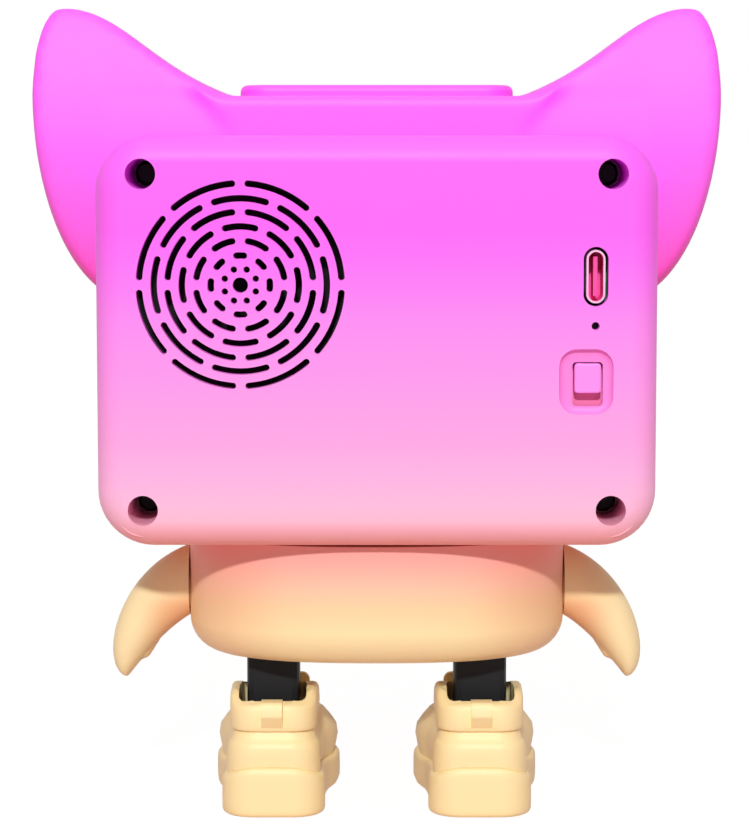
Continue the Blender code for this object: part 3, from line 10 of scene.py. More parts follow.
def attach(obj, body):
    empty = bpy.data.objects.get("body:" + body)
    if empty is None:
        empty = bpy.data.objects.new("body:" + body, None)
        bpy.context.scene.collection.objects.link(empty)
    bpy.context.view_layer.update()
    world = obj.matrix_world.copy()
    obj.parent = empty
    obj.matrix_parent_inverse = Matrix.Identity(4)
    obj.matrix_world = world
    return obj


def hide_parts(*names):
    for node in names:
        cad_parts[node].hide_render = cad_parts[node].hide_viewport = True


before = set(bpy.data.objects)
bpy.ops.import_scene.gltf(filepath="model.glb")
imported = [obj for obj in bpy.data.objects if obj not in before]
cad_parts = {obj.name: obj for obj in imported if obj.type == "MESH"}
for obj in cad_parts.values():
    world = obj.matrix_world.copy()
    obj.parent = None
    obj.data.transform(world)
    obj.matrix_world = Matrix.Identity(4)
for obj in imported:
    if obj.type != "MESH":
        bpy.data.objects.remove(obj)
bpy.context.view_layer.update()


# Anti-slip pads
# Each shoe stands on a die-cut black rubber pad, 1 mm thick, glued into a shallow pocket under the sole.
# The CAD pads are kept as they are. The rubber has a fine open texture and a dry, dusty bloom.

MM = 0.001
RUBBER_GRAIN = 0.5 * MM
RUBBER_RELIEF = 0.06 * MM
RUBBER_BLOOM = 6 * MM


class Wire:
    """Output of a node, so that shader maths reads as plain sums."""

    def __init__(self, finish, socket):
        self.finish = finish
        self.socket = socket

    def maths(self, operation, first, second=0.0):
        return self.finish.node("ShaderNodeMath", {"operation": operation}, {0: first, 1: second})

    def __add__(self, other):
        return self.maths("ADD", self, other)

    def __radd__(self, other):
        return self.maths("ADD", other, self)

    def __sub__(self, other):
        return self.maths("SUBTRACT", self, other)

    def __rsub__(self, other):
        return self.maths("SUBTRACT", other, self)

    def __mul__(self, other):
        return self.maths("MULTIPLY", self, other)

    def __rmul__(self, other):
        return self.maths("MULTIPLY", other, self)

    def __abs__(self):
        return self.maths("ABSOLUTE", self)


class Finish:
    """One material: node() adds a node to it, and set() feeds the sockets of its shader."""

    def __init__(self, name):
        self.material = bpy.data.materials.new(name)
        self.material.use_nodes = True
        self.tree = self.material.node_tree
        self.shader = self.tree.nodes["Principled BSDF"]

    def feed(self, socket, value):
        if isinstance(value, Wire):
            self.tree.links.new(value.socket, socket)
        else:
            socket.default_value = value

    def node(self, kind, settings, inputs, output=0):
        made = self.tree.nodes.new(kind)
        for key, value in settings.items():
            if key == "stops":
                ramp = made.color_ramp
                while len(ramp.elements) < len(value):
                    ramp.elements.new(1)
                for stop, (place, colour) in zip(ramp.elements, value):
                    stop.position = place
                    stop.color = colour
            else:
                setattr(made, key, value)
        for key, value in inputs.items():
            self.feed(made.inputs[key], value)
        return Wire(self, made.outputs[output])

    def set(self, **sockets):
        for name, value in sockets.items():
            self.feed(self.shader.inputs[name.replace("_", " ").title()], value)

    def place(self):
        return self.node("ShaderNodeTexCoord", {}, {}, "Object")

    def level(self, axis):
        """Distance of the surface from the origin along an axis, in metres."""
        return self.node("ShaderNodeSeparateXYZ", {}, {0: self.place()}, axis)

    def noise(self, size, detail=2.0):
        """Soft noise from 0 to 1, with grains about size across."""
        return self.node("ShaderNodeTexNoise", {},
                         {"Vector": self.place(), "Scale": 1 / size, "Detail": detail})

    def bump(self, height, depth):
        """Relief of the given depth in metres, where height goes from 0 to 1."""
        return self.node("ShaderNodeBump", {},
                         {"Height": height, "Strength": 1.0, "Distance": depth}, "Normal")

    def blend(self, share, first, second, way="MIX"):
        """Colour between two colours, or the first colour tinted by the second where way is MULTIPLY."""
        return self.node("ShaderNodeMix", {"data_type": "RGBA", "blend_type": way},
                         {0: share, 6: first, 7: second}, 2)


def paint(red, green, blue):
    """Colour as it is read off a screen, from 0 to 255, for a shader."""
    levels = []
    for value in (red, green, blue):
        share = value / 255
        levels.append(share / 12.92 if share <= 0.04045 else ((share + 0.055) / 1.055) ** 2.4)
    return (*levels, 1.0)


def dress(finish, *nodes):
    """Gives CAD nodes that stay in view their finish."""
    for name in nodes:
        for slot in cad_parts[name].material_slots:
            slot.material = finish.material


rubber = Finish("black rubber")
rubber_grain = rubber.noise(RUBBER_GRAIN)
rubber.set(base_color=rubber.blend(rubber.noise(RUBBER_BLOOM), paint(28, 27, 27), paint(44, 42, 41)),
           roughness=0.75 + 0.2 * rubber_grain, normal=rubber.bump(rubber_grain, RUBBER_RELIEF))
dress(rubber, "left_sole_pad", "right_sole_pad")


# Soles
# A chunky sole is moulded in cream plastic with a rolled upper edge and a bevel at the ground.
# It is glued under the upper, and the pad sits in a pocket in its underside.

SHOE_SPREAD = 18.2 * MM
SHOE_HEEL = 17 * MM
SHOE_TOE = -23 * MM
HEEL_HALF = 9.1 * MM
TOE_HALF = 11.35 * MM
HEEL_ROUND = 0.6
TOE_ROUND = 0.85
ARC_POINTS = 14
SIDE_POINTS = 20
SHOE_POINTS = 4 * ARC_POINTS + 2 * SIDE_POINTS
HEEL_ARCH = 2.0 * MM
ARCH_SPAN = (10 * MM, 16 * MM)
SIDE_DROP = 0.7 * MM
TOE_FALL = 1.3 * MM
FALL_SPAN = (6 * MM, -8 * MM)
WAIST = 1.0 * MM
WAIST_BACK = (12 * MM, 5 * MM)
WAIST_FRONT = (-9 * MM, -2 * MM)
SOLE_STATIONS = (
    # height and inset from the widest outline, in millimetres
    (0.15, 0.95), (0.23, 0.55), (0.5, 0.2), (1.0, 0.02), (2.0, 0), (4.5, 0), (6.6, 0.04), (7.3, 0.12),
    (7.75, 0.4), (8.0, 0.9))
SOLE_FLEX = (2 * MM, 8 * MM)
POCKET_STATIONS = ((-1, 2.45), (1.3, 2.45))
CREAM = paint(255, 234, 177)
DRIFT_SIZE = 24 * MM
DRIFT_DEPTH = 0.05
DRIFT_TONE = paint(214, 196, 190)
EDGE_ANGLE = 40


def loft(count, stations, spot, tip=None):
    """Tube of rings with closed ends, each point moved to spot(station, angle), or drawn to a tip."""
    shape = bmesh.new()
    bmesh.ops.create_circle(shape, segments=count, radius=1)
    edges = shape.edges[:]
    for level in range(1, len(stations)):
        grown = bmesh.ops.extrude_edge_only(shape, edges=edges)["geom"]
        ring = {part for part in grown if isinstance(part, bmesh.types.BMVert)}
        edges = [part for part in grown
                 if isinstance(part, bmesh.types.BMEdge) and ring.issuperset(part.verts)]
        bmesh.ops.translate(shape, verts=list(ring), vec=(0, 0, 1))
    last = [vert for vert in shape.verts if vert.co.z > len(stations) - 1.5]
    for vert in shape.verts:
        vert.co = spot(stations[round(vert.co.z)], math.atan2(vert.co.y, vert.co.x))
    if tip is not None:
        bmesh.ops.pointmerge(shape, verts=last, merge_co=tip)
    ends = bmesh.ops.holes_fill(shape, edges=[edge for edge in shape.edges if edge.is_boundary])["faces"]
    bmesh.ops.triangulate(shape, faces=ends)
    bmesh.ops.recalc_face_normals(shape, faces=shape.faces)
    return shape


def piece(name, shape, finish=None):
    """Finished mesh as an object with its place in its mesh."""
    mesh = bpy.data.meshes.new(name)
    shape.to_mesh(mesh)
    shape.free()
    made = bpy.data.objects.new(name, mesh)
    bpy.context.scene.collection.objects.link(made)
    if finish is not None:
        mesh.materials.append(finish.material)
    return made


def settle(made):
    """Makes the piece's modifiers part of its mesh."""
    state = bpy.context.evaluated_depsgraph_get()
    mesh = bpy.data.meshes.new_from_object(made.evaluated_get(state))
    made.modifiers.clear()
    made.data = mesh


def carve(made, operation, *shapes):
    """Joins shapes to a piece or cuts them out of it."""
    cutters = []
    for shape in shapes:
        cutter = piece("cutter", shape)
        change = made.modifiers.new("carve", "BOOLEAN")
        change.operation = operation
        change.solver = "EXACT"
        change.object = cutter
        cutters.append(cutter)
    settle(made)
    for cutter in cutters:
        bpy.data.objects.remove(cutter)


def shade(made, angle):
    """Smooth shading that keeps edges sharper than the angle, and lets flat faces stay flat."""
    made.data.shade_smooth()
    made.data.set_sharp_from_angle(angle=math.radians(angle))
    weighted = made.modifiers.new("even shading", "WEIGHTED_NORMAL")
    weighted.keep_sharp = True
    settle(made)


def shoe_ring(back, heel, front, toe):
    """Points round a shoe from above: a square-cornered heel and a rounder toe joined by straight sides."""
    heel_corner = HEEL_ROUND * heel
    toe_corner = TOE_ROUND * toe
    heel_side = heel - heel_corner
    toe_side = toe - toe_corner
    corners = ((heel_side, back - heel_corner, heel_corner), (-heel_side, back - heel_corner, heel_corner),
               (-toe_side, front + toe_corner, toe_corner), (toe_side, front + toe_corner, toe_corner))
    arcs = []
    for quarter, (x, y, radius) in enumerate(corners):
        turns = [math.pi / 2 * (quarter + step / (ARC_POINTS - 1)) for step in range(ARC_POINTS)]
        arcs.append([Vector((x + radius * math.cos(turn), y + radius * math.sin(turn))) for turn in turns])
    shares = [step / (SIDE_POINTS + 1) for step in range(1, SIDE_POINTS + 1)]
    inner = [arcs[1][-1].lerp(arcs[2][0], share) for share in shares]
    outer = [arcs[3][-1].lerp(arcs[0][0], share) for share in shares]
    return arcs[0] + arcs[1] + inner + arcs[2] + arcs[3] + outer


def on_ring(ring, angle):
    """Point of a ring that belongs to a vertex of a loft."""
    return ring[round(angle / (2 * math.pi) * len(ring)) % len(ring)]


def eased(value, low, high):
    """Soft step from 0 at low to 1 at high."""
    share = min(1.0, max(0.0, (value - low) / (high - low)))
    return share * share * (3 - 2 * share)


def seam_lift(x, y):
    """The seam between sole and upper arches over the back of the heel and falls towards the toe."""
    arch = HEEL_ARCH * max(0.0, 1 - (x / HEEL_HALF) ** 2) * eased(y, *ARCH_SPAN)
    return arch - SIDE_DROP - TOE_FALL * eased(y, *FALL_SPAN)


def waisted(x, y, share=1.0):
    """The shoe is drawn in at its waist, between heel and ball."""
    return x - math.copysign(share * WAIST * eased(y, *WAIST_BACK) * eased(y, *WAIST_FRONT), x)


def moulded(finish, colour, grain=0.35 * MM, depth=0.012 * MM):
    """Satin moulded plastic: a colour with faint drift, a fine eroded grain and rubbed patches."""
    drift = finish.noise(DRIFT_SIZE)
    fine = finish.noise(grain)
    finish.set(base_color=finish.blend(DRIFT_DEPTH * drift, colour, DRIFT_TONE, "MULTIPLY"),
               roughness=0.4 + 0.14 * fine + 0.06 * drift, normal=finish.bump(fine, depth))


cream_plastic = Finish("cream plastic")
moulded(cream_plastic, CREAM)

for side, label in ((1, "left"), (-1, "right")):
    def sole_spot(station, angle):
        height, inset = station[0] * MM, station[1] * MM
        ring = shoe_ring(SHOE_HEEL - inset, HEEL_HALF - inset, SHOE_TOE + inset, TOE_HALF - inset)
        x, y = on_ring(ring, angle)
        return side * SHOE_SPREAD + waisted(x, y), y, height + seam_lift(x, y) * eased(height, *SOLE_FLEX)

    sole = piece(f"{label}_sole", loft(SHOE_POINTS, SOLE_STATIONS, sole_spot), cream_plastic)
    carve(sole, "DIFFERENCE", loft(SHOE_POINTS, POCKET_STATIONS, sole_spot))
    shade(sole, EDGE_ANGLE)
    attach(sole, f"{label}_foot")
    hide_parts(f"{label}_shoe_sole")


# Shoe uppers
# The upper is one hollow moulding in cream plastic, with a heel counter, a padded collar and a pull tab.
# It clips over the sole and hinges on a pin through the foot of the leg.

UPPER_STATIONS = (
    # height, back of the heel, half width of the heel, front of the toe, half width of the toe
    (7.98, 16.2, 8.2, -22.2, 10.4), (8.2, 16.3, 8.3, -22.4, 10.5), (10.4, 16.3, 8.3, -22.5, 10.6),
    (11.8, 16.2, 8.2, -21.8, 10.3), (12.7, 16.0, 8.05, -20.9, 9.8), (13.2, 15.6, 7.8, -20.1, 9.3),
    (13.6, 15.2, 7.5, -19.0, 9.0), (14.4, 15.0, 7.35, -16.6, 8.6), (14.9, 14.7, 7.1, -14.8, 8.3),
    (15.1, 14.7, 7.1, -13.9, 8.2), (15.3, 15.3, 7.5, -12.8, 8.1), (15.9, 15.55, 7.65, -10.6, 8.0),
    (17.6, 15.5, 7.65, -7.2, 7.9), (19.0, 15.3, 7.65, -5.9, 7.85), (19.5, 15.1, 7.5, -5.5, 7.7),
    (19.85, 14.8, 7.15, -5.1, 7.35), (20.0, 14.4, 6.7, -4.8, 6.9))
LIFT_FADE = (15 * MM, 8.2 * MM)
WAIST_FADE = (17 * MM, 14 * MM)
PANEL_SWELL = 0.4 * MM
PANEL_BACK = (3 * MM, 1.5 * MM)
PANEL_FRONT = (-15 * MM, -13.5 * MM)
PANEL_FOOT = (9 * MM, 9.4 * MM)
PANEL_HEAD = (12.6 * MM, 12.0 * MM)
COLLAR_WING = 1.9 * MM
WING_RISE = (16 * MM, 19.9 * MM)
WING_BACK = (14 * MM, 9.5 * MM)
WING_FRONT = (-4 * MM, 4 * MM)
LEG_X = 18.35 * MM
LEG_Y = 4.5 * MM
LEG_WELL_HALF = Vector((5.72, 5.4)) * MM
LEG_WELL_FLOOR = 7 * MM
LEG_WELL_TOP = 24 * MM
LEG_WELL_CORNER = 1.5 * MM
ANKLE_Z = 13.4 * MM
PIN_BORE = 1.6 * MM
ANKLE_BORE = (-3.2 * MM, 12.2 * MM)
TAB_HALF = 1.85 * MM
TAB_ROOT = 13.6 * MM
TAB_SQUARE = 1.5
TAB_POINTS = 24
TAB_STATIONS = (
    # height and how far back the tab reaches, in millimetres
    (15.9, 15.4), (16.1, 15.8), (17.9, 16.95), (18.3, 17.05), (19.9, 16.75), (20.4, 16.4), (20.6, 15.9))
MOUTH_FLOOR = 15.6 * MM
MOUTH_TOP = 25 * MM
MOUTH_BACK = 13.5 * MM
MOUTH_HALF = 5.95 * MM
MOUTH_CORNER = 1.7 * MM
TONGUE_IN = 6.2 * MM
TONGUE_OUT = 4.2 * MM
TONGUE_FRONT = -4.4 * MM
TONGUE_BACK = -2.6 * MM
TONGUE_ROOT = 14 * MM
TONGUE_TOP = 22.2 * MM
TONGUE_CORNER = 1.4 * MM
TONGUE_EDGE = 0.5 * MM
LACES = ((-16.2, 14.7), (-13.1, 16.2), (-10.0, 17.8))
LACE_RADIUS = 0.85 * MM
LACE_HALF = 4.6 * MM
LACE_SIDES = 20
LACE_CUTS = 8
LACE_BEND = 45
CORNER_STEPS = 5
EDGE_STEPS = 3


def block(low, high):
    """Plain block between two corners."""
    shape = bmesh.new()
    bmesh.ops.create_cube(shape, size=1)
    low, high = Vector(low), Vector(high)
    bmesh.ops.scale(shape, verts=shape.verts, vec=high - low)
    bmesh.ops.translate(shape, verts=shape.verts, vec=(low + high) / 2)
    return shape


def soften(shape, radius, steps, keep):
    """Rounds the edges for which keep(edge) is true."""
    edges = [edge for edge in shape.edges if keep(edge)]
    bmesh.ops.bevel(shape, geom=edges, offset=radius, offset_type="OFFSET", segments=steps, profile=0.5,
                    affect="EDGES", material=-1, clamp_overlap=True)
    return shape


def along(axis):
    """Picks the edges that run along an axis."""
    return lambda edge: abs((edge.verts[0].co - edge.verts[1].co).normalized()[axis]) > 0.99


def at(axis, level):
    """Picks the edges that lie in a plane."""
    return lambda edge: all(abs(vert.co[axis] - level) < 1e-6 for vert in edge.verts)


def drum(axis, centre, radius, low, high, sides=48):
    """Round bar along an axis from low to high."""
    shape = bmesh.new()
    bmesh.ops.create_cone(shape, cap_ends=True, segments=sides, radius1=radius, radius2=radius,
                          depth=high - low)
    bmesh.ops.translate(shape, verts=shape.verts, vec=(0, 0, (low + high) / 2))
    turns = (Matrix.Rotation(math.pi / 2, 3, "Y"), Matrix.Rotation(-math.pi / 2, 3, "X"), Matrix.Identity(3))
    bmesh.ops.rotate(shape, verts=shape.verts, matrix=turns[axis])
    spot = list(centre)
    spot.insert(axis, 0)
    bmesh.ops.translate(shape, verts=shape.verts, vec=spot)
    return shape


def sliced(shape, axis, spots):
    """Cuts a shape's skin across an axis, so that it can be bent there."""
    normal = Vector((0, 0, 0))
    normal[axis] = 1
    for spot in spots:
        skin = shape.verts[:] + shape.edges[:] + shape.faces[:]
        bmesh.ops.bisect_plane(shape, geom=skin, plane_co=spot * normal, plane_no=normal)
    return shape


for side, label in ((1, "left"), (-1, "right")):
    middle = side * SHOE_SPREAD
    ankle = side * LEG_X

    def upper_spot(station, angle):
        height, back, heel, front, toe = (value * MM for value in station)
        x, y = on_ring(shoe_ring(back, heel, front, toe), angle)
        panel = PANEL_SWELL * eased(y, *PANEL_BACK) * eased(y, *PANEL_FRONT)
        panel *= eased(height, *PANEL_FOOT) * eased(height, *PANEL_HEAD)
        wing = COLLAR_WING * eased(height, *WING_RISE) * eased(y, *WING_BACK) * eased(y, *WING_FRONT)
        lift = seam_lift(x, y) * eased(height, *LIFT_FADE)
        low = eased(height, *WAIST_FADE)
        return middle + waisted(x, y, low) + math.copysign(panel, x), y, height + wing + lift

    def tab_spot(station, angle):
        across = TAB_HALF * max(-1.0, min(1.0, TAB_SQUARE * math.cos(angle)))
        out = station[1] * MM if math.sin(angle) > 0 else TAB_ROOT
        return ankle + across, out, station[0] * MM

    upper = piece(f"{label}_upper", loft(SHOE_POINTS, UPPER_STATIONS, upper_spot), cream_plastic)
    near, far = sorted((ankle - side * TONGUE_IN, ankle + side * TONGUE_OUT))
    tongue = block((near, TONGUE_FRONT, TONGUE_ROOT), (far, TONGUE_BACK, TONGUE_TOP))
    soften(tongue, TONGUE_CORNER, CORNER_STEPS, along(1))
    soften(tongue, TONGUE_EDGE, EDGE_STEPS, at(1, TONGUE_FRONT))
    laces = []
    for y, height in LACES:
        lace = drum(0, (y * MM, height * MM), LACE_RADIUS, middle - LACE_HALF, middle + LACE_HALF, LACE_SIDES)
        sliced(lace, 0, [middle + LACE_HALF * (2 * cut / LACE_CUTS - 1) for cut in range(1, LACE_CUTS)])
        for vert in lace.verts:
            droop = LACE_BEND * (vert.co.x - middle) ** 2
            vert.co += Vector((0, droop, -droop))
        laces.append(lace)
    carve(upper, "UNION", tongue, *laces)
    well = block((ankle - LEG_WELL_HALF.x, LEG_Y - LEG_WELL_HALF.y, LEG_WELL_FLOOR),
                 (ankle + LEG_WELL_HALF.x, LEG_Y + LEG_WELL_HALF.y, LEG_WELL_TOP))
    mouth = block((ankle - MOUTH_HALF, LEG_Y, MOUTH_FLOOR), (ankle + MOUTH_HALF, MOUTH_BACK, MOUTH_TOP))
    carve(upper, "DIFFERENCE", soften(well, LEG_WELL_CORNER, CORNER_STEPS, along(2)))
    carve(upper, "DIFFERENCE", soften(mouth, MOUTH_CORNER, CORNER_STEPS, along(2)))
    carve(upper, "UNION", loft(TAB_POINTS, TAB_STATIONS, tab_spot))
    carve(upper, "DIFFERENCE", drum(1, (ankle, ANKLE_Z), PIN_BORE, *ANKLE_BORE))
    shade(upper, EDGE_ANGLE)
    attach(upper, f"{label}_foot")
    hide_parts(f"{label}_shoe_upper")


# Legs, pins and drive
# Each leg is a black moulded post with a gear sector at the hip, hung on a steel pin in the torso.
# The sway motor's black gear turns both sectors, and steel pins hinge the shoes and arms.

BLACK_GRAIN = 0.25 * MM
BLACK_RELIEF = 0.01 * MM
STEEL_STREAK = 0.4 * MM
STEEL_RELIEF = 0.004 * MM
STEEL_PATCH = 3 * MM

black_plastic = Finish("black plastic")
moulded(black_plastic, paint(36, 37, 39), BLACK_GRAIN, BLACK_RELIEF)
black_plastic.shader.inputs["Specular IOR Level"].default_value = 0.12
dress(black_plastic, "left_leg", "right_leg", "drive_gear")

steel = Finish("plain steel")
steel_streak = steel.noise(STEEL_STREAK, 4.0)
steel.set(base_color=steel.blend(steel.noise(STEEL_PATCH), paint(188, 188, 190), paint(214, 214, 216)),
          metallic=1.0, roughness=0.26 + 0.2 * steel_streak, normal=steel.bump(steel_streak, STEEL_RELIEF))
dress(steel, "drive_shaft", "sway_motor", "left_hip_pin", "right_hip_pin", "left_ankle_pin",
      "right_ankle_pin", "left_shoulder_pin", "right_shoulder_pin", "chassis_screw_1", "chassis_screw_2")


# Torso
# The torso is an oval tub whose coat fades from salmon at the top to cream at the hem, with painted warm
# shade on its flanks.
# The tub is open at the top, with slots for the legs, and two screws hold the chassis that closes it.

TORSO_HALF = Vector((33.4, 23.0)) * MM
TORSO_POWER = 2.4
TORSO_POINTS = 160
TORSO_FLOOR = 27.8 * MM
TORSO_RIM = 48.97 * MM
TORSO_WALL = 2 * MM
TORSO_EDGE = 6 * MM
ROLL_STEPS = 10
SHOULDER_Z = 38.97 * MM
BOSS_RADIUS = 4.2 * MM
BOSS_BACK = 28 * MM
BOSS_FACE = 33.7 * MM
BOSS_SIDES = 64
SHOULDER_REACH = 36 * MM
LEG_SLOT_NEAR = 12.33 * MM
LEG_SLOT_FAR = 26.98 * MM
LEG_SLOT_HALF = 5.4 * MM
LEG_SLOT_LOW = 27 * MM
LEG_SLOT_HIGH = 36 * MM
LEG_SLOT_CORNER = 1.5 * MM
SHELL_ANGLE = 35
# The fade is the coat's own colour. At 51 and 54.5 mm it is also darkened to salmon as painted shade on the
# head's rolled lower edge.
FADE = (
    # height in millimetres and colour
    (28, paint(255, 236, 180)), (34, paint(255, 232, 176)), (38, paint(253, 221, 171)),
    (42, paint(253, 206, 177)), (46, paint(254, 184, 172)), (49.5, paint(254, 168, 164)),
    (51, paint(255, 176, 182)), (54.5, paint(255, 190, 216)), (56.5, paint(255, 191, 225)),
    (62.6, paint(254, 180, 234)), (67.6, paint(255, 169, 234)), (78, paint(255, 155, 243)),
    (88, paint(254, 141, 249)), (93, paint(254, 127, 252)), (98, paint(255, 114, 255)),
    (103, paint(255, 104, 254)), (124.5, paint(255, 107, 254)), (126.6, paint(255, 100, 252)))
# Painted shade: the torso's flanks are tinted orange from 14 to 28 mm out from the middle, standing in for
# warm shade on sides turned from the light.
FLANK_SHADE_START = 14 * MM
FLANK_SHADE_END = 28 * MM
FLANK_PAINTED_SHADE = (1.0, 0.86, 0.86, 1.0)


def faded(finish, fade):
    """Colour by the height of the surface, from a table of the coat's fade and the painted shade it holds."""
    low = fade[0][0]
    high = fade[-1][0]
    share = (finish.level(2) * (1 / MM) - low) * (1 / (high - low))
    stops = [((level - low) / (high - low), colour) for level, colour in fade]
    return finish.node("ShaderNodeValToRGB", {"stops": stops}, {0: share})


def between(finish, axis, start, end):
    """Smooth share from 0 to 1 as the distance from the middle along an axis goes from start to end."""
    return finish.node("ShaderNodeMapRange", {"interpolation_type": "SMOOTHSTEP"},
                       {"Value": abs(finish.level(axis)), "From Min": start, "From Max": end})


def oval_spot(station, angle):
    """Point on the torso's outline, an oval with full shoulders."""
    height, inset = station
    across, deep = math.cos(angle), math.sin(angle)
    power = 2 / TORSO_POWER
    x = math.copysign((TORSO_HALF.x - inset) * abs(across) ** power, across)
    y = math.copysign((TORSO_HALF.y - inset) * abs(deep) ** power, deep)
    return x, y, height


def rolled(level, radius, inset=0.0):
    """Stations of a rolled lower edge."""
    turns = [math.pi / 2 * step / ROLL_STEPS for step in range(ROLL_STEPS + 1)]
    return [(level + radius * (1 - math.cos(turn)), inset + radius * (1 - math.sin(turn))) for turn in turns]


coat_and_flank_shade = Finish("coat with painted flank shade")
# The flanks get their painted warm shade here, multiplied into the fade.
flank_shade_share = between(coat_and_flank_shade, 0, FLANK_SHADE_START, FLANK_SHADE_END)
moulded(coat_and_flank_shade, coat_and_flank_shade.blend(flank_shade_share, faded(coat_and_flank_shade, FADE), FLANK_PAINTED_SHADE, "MULTIPLY"))

tub_stations = rolled(TORSO_FLOOR, TORSO_EDGE) + [(TORSO_RIM, 0)]
tub = piece("torso", loft(TORSO_POINTS, tub_stations, oval_spot), coat_and_flank_shade)
hollow_stations = rolled(TORSO_FLOOR + TORSO_WALL, TORSO_EDGE - TORSO_WALL, TORSO_WALL)
hollow = loft(TORSO_POINTS, hollow_stations + [(TORSO_RIM + MM, TORSO_WALL)], oval_spot)
carve(tub, "UNION", drum(0, (0, SHOULDER_Z), BOSS_RADIUS, BOSS_BACK, BOSS_FACE, BOSS_SIDES),
      drum(0, (0, SHOULDER_Z), BOSS_RADIUS, -BOSS_FACE, -BOSS_BACK, BOSS_SIDES))
carve(tub, "DIFFERENCE", hollow)
slots = []
for side in (1, -1):
    near, far = sorted((side * LEG_SLOT_NEAR, side * LEG_SLOT_FAR))
    slot = block((near, LEG_Y - LEG_SLOT_HALF, LEG_SLOT_LOW), (far, LEG_Y + LEG_SLOT_HALF, LEG_SLOT_HIGH))
    slots.append(soften(slot, LEG_SLOT_CORNER, CORNER_STEPS, along(2)))
carve(tub, "DIFFERENCE", *slots, drum(0, (0, SHOULDER_Z), PIN_BORE, -SHOULDER_REACH, SHOULDER_REACH))
shade(tub, SHELL_ANGLE)
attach(tub, "figure")
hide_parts("torso_shell")


# Chassis
# The chassis is a salmon plate set into the mouth of the torso, with a bevelled edge and a round neck.
# Motor and leg bearings hang under it, and the neck carries the head.

# The chassis takes the torso's coat, with its painted flank shade.
dress(coat_and_flank_shade, "torso_chassis")


# Arms
# Each arm is a small solid paw in the torso's cream, with a stub of a thumb on its inner edge.
# Near the body and below the shoulder the cream is tinted orange as painted warm shade, and the arm swings on
# a steel pin at the shoulder.

ARM_FACE = 33.78 * MM
ARM_ROOT = 33.46 * MM
ARM_OUTER = ((-2, 7.8), (13.2, 3.9), (17.0, -15.4), (11.1, -16.9))
ARM_INNER = ((-2, -4.6), (4.5, -7.7), (9.4, -15.0), (11.1, -16.9))
ARM_THICK = 11 * MM
ARM_STATIONS = 40
ARM_POINTS = 48
LAST_SHARE = 0.992
THUMB = ((6.9, -9.8), (7.6, -10.9), (8.3, -12.0))
THUMB_RADIUS = 1.65 * MM
ARM_VOXEL = 0.3 * MM
SMOOTHING = 6
ROOT_TRIM = 20 * MM
POCKET_BACK = 33 * MM
PIN_END = 38.3 * MM
SEAM = 0.3 * MM
# Painted shade: where the arm lies near the body and below the shoulder it is tinted orange, standing in for
# warm shade there.
ARMPIT_SHADE_NEAR = 36 * MM
ARMPIT_SHADE_FAR = 43.5 * MM
ARMPIT_SHADE_LOW = 35 * MM
ARMPIT_SHADE_HIGH = 39.5 * MM
ARMPIT_PAINTED_SHADE = (0.96, 0.66, 0.62, 1.0)
ARM_CREAM = paint(255, 236, 182)


def bezier(points, share):
    """Point on a cubic curve drawn in millimetres."""
    a, b, c, d = (Vector(point) * MM for point in points)
    rest = 1 - share
    return rest ** 3 * a + 3 * rest * rest * share * b + 3 * rest * share * share * c + share ** 3 * d


def leaf(outer, inner, thick, root, side, count, around, back=2.0):
    """Rounded leaf between two curved edges that meet at its tip; a higher power flattens its back."""
    def spot(share, angle):
        power = back if math.sin(angle) > 0 else 2.0
        one, two = bezier(outer, share), bezier(inner, share)
        across = math.copysign(abs(math.cos(angle)) ** (2 / power), math.cos(angle))
        flat = (one + two) / 2 + (one - two) / 2 * across
        round_off = math.copysign(abs(math.sin(angle)) ** (2 / power), math.sin(angle))
        deep = thick / 2 * (1 - share ** power) ** (1 / power) * round_off
        return side * (root[0] + flat.x), root[1] + deep, root[2] + flat.y

    shares = [LAST_SHARE * math.sin(math.pi / 2 * step / (count - 1)) for step in range(count)]
    tip = bezier(outer, 1)
    return loft(around, shares, spot, (side * (root[0] + tip.x), root[1], root[2] + tip.y))


def remesh(made, voxel, passes):
    """Skins a piece afresh in one even net, so that what it joins flows together, and smooths it."""
    skin = made.modifiers.new("skin", "REMESH")
    skin.mode = "VOXEL"
    skin.voxel_size = voxel
    settle(made)
    shape = bmesh.new()
    shape.from_mesh(made.data)
    for _ in range(passes):
        bmesh.ops.smooth_vert(shape, verts=shape.verts, factor=0.5,
                              use_axis_x=True, use_axis_y=True, use_axis_z=True)
    shape.to_mesh(made.data)
    shape.free()


arm_plastic_and_shade = Finish("arm plastic with painted armpit shade")
# The arm's painted warm shade is mixed in here.
shade_beside_body = between(arm_plastic_and_shade, 0, ARMPIT_SHADE_FAR, ARMPIT_SHADE_NEAR)
shade_below_shoulder = between(arm_plastic_and_shade, 2, ARMPIT_SHADE_HIGH, ARMPIT_SHADE_LOW)
moulded(arm_plastic_and_shade, arm_plastic_and_shade.blend(shade_beside_body * shade_below_shoulder, ARM_CREAM, ARMPIT_PAINTED_SHADE, "MULTIPLY"))

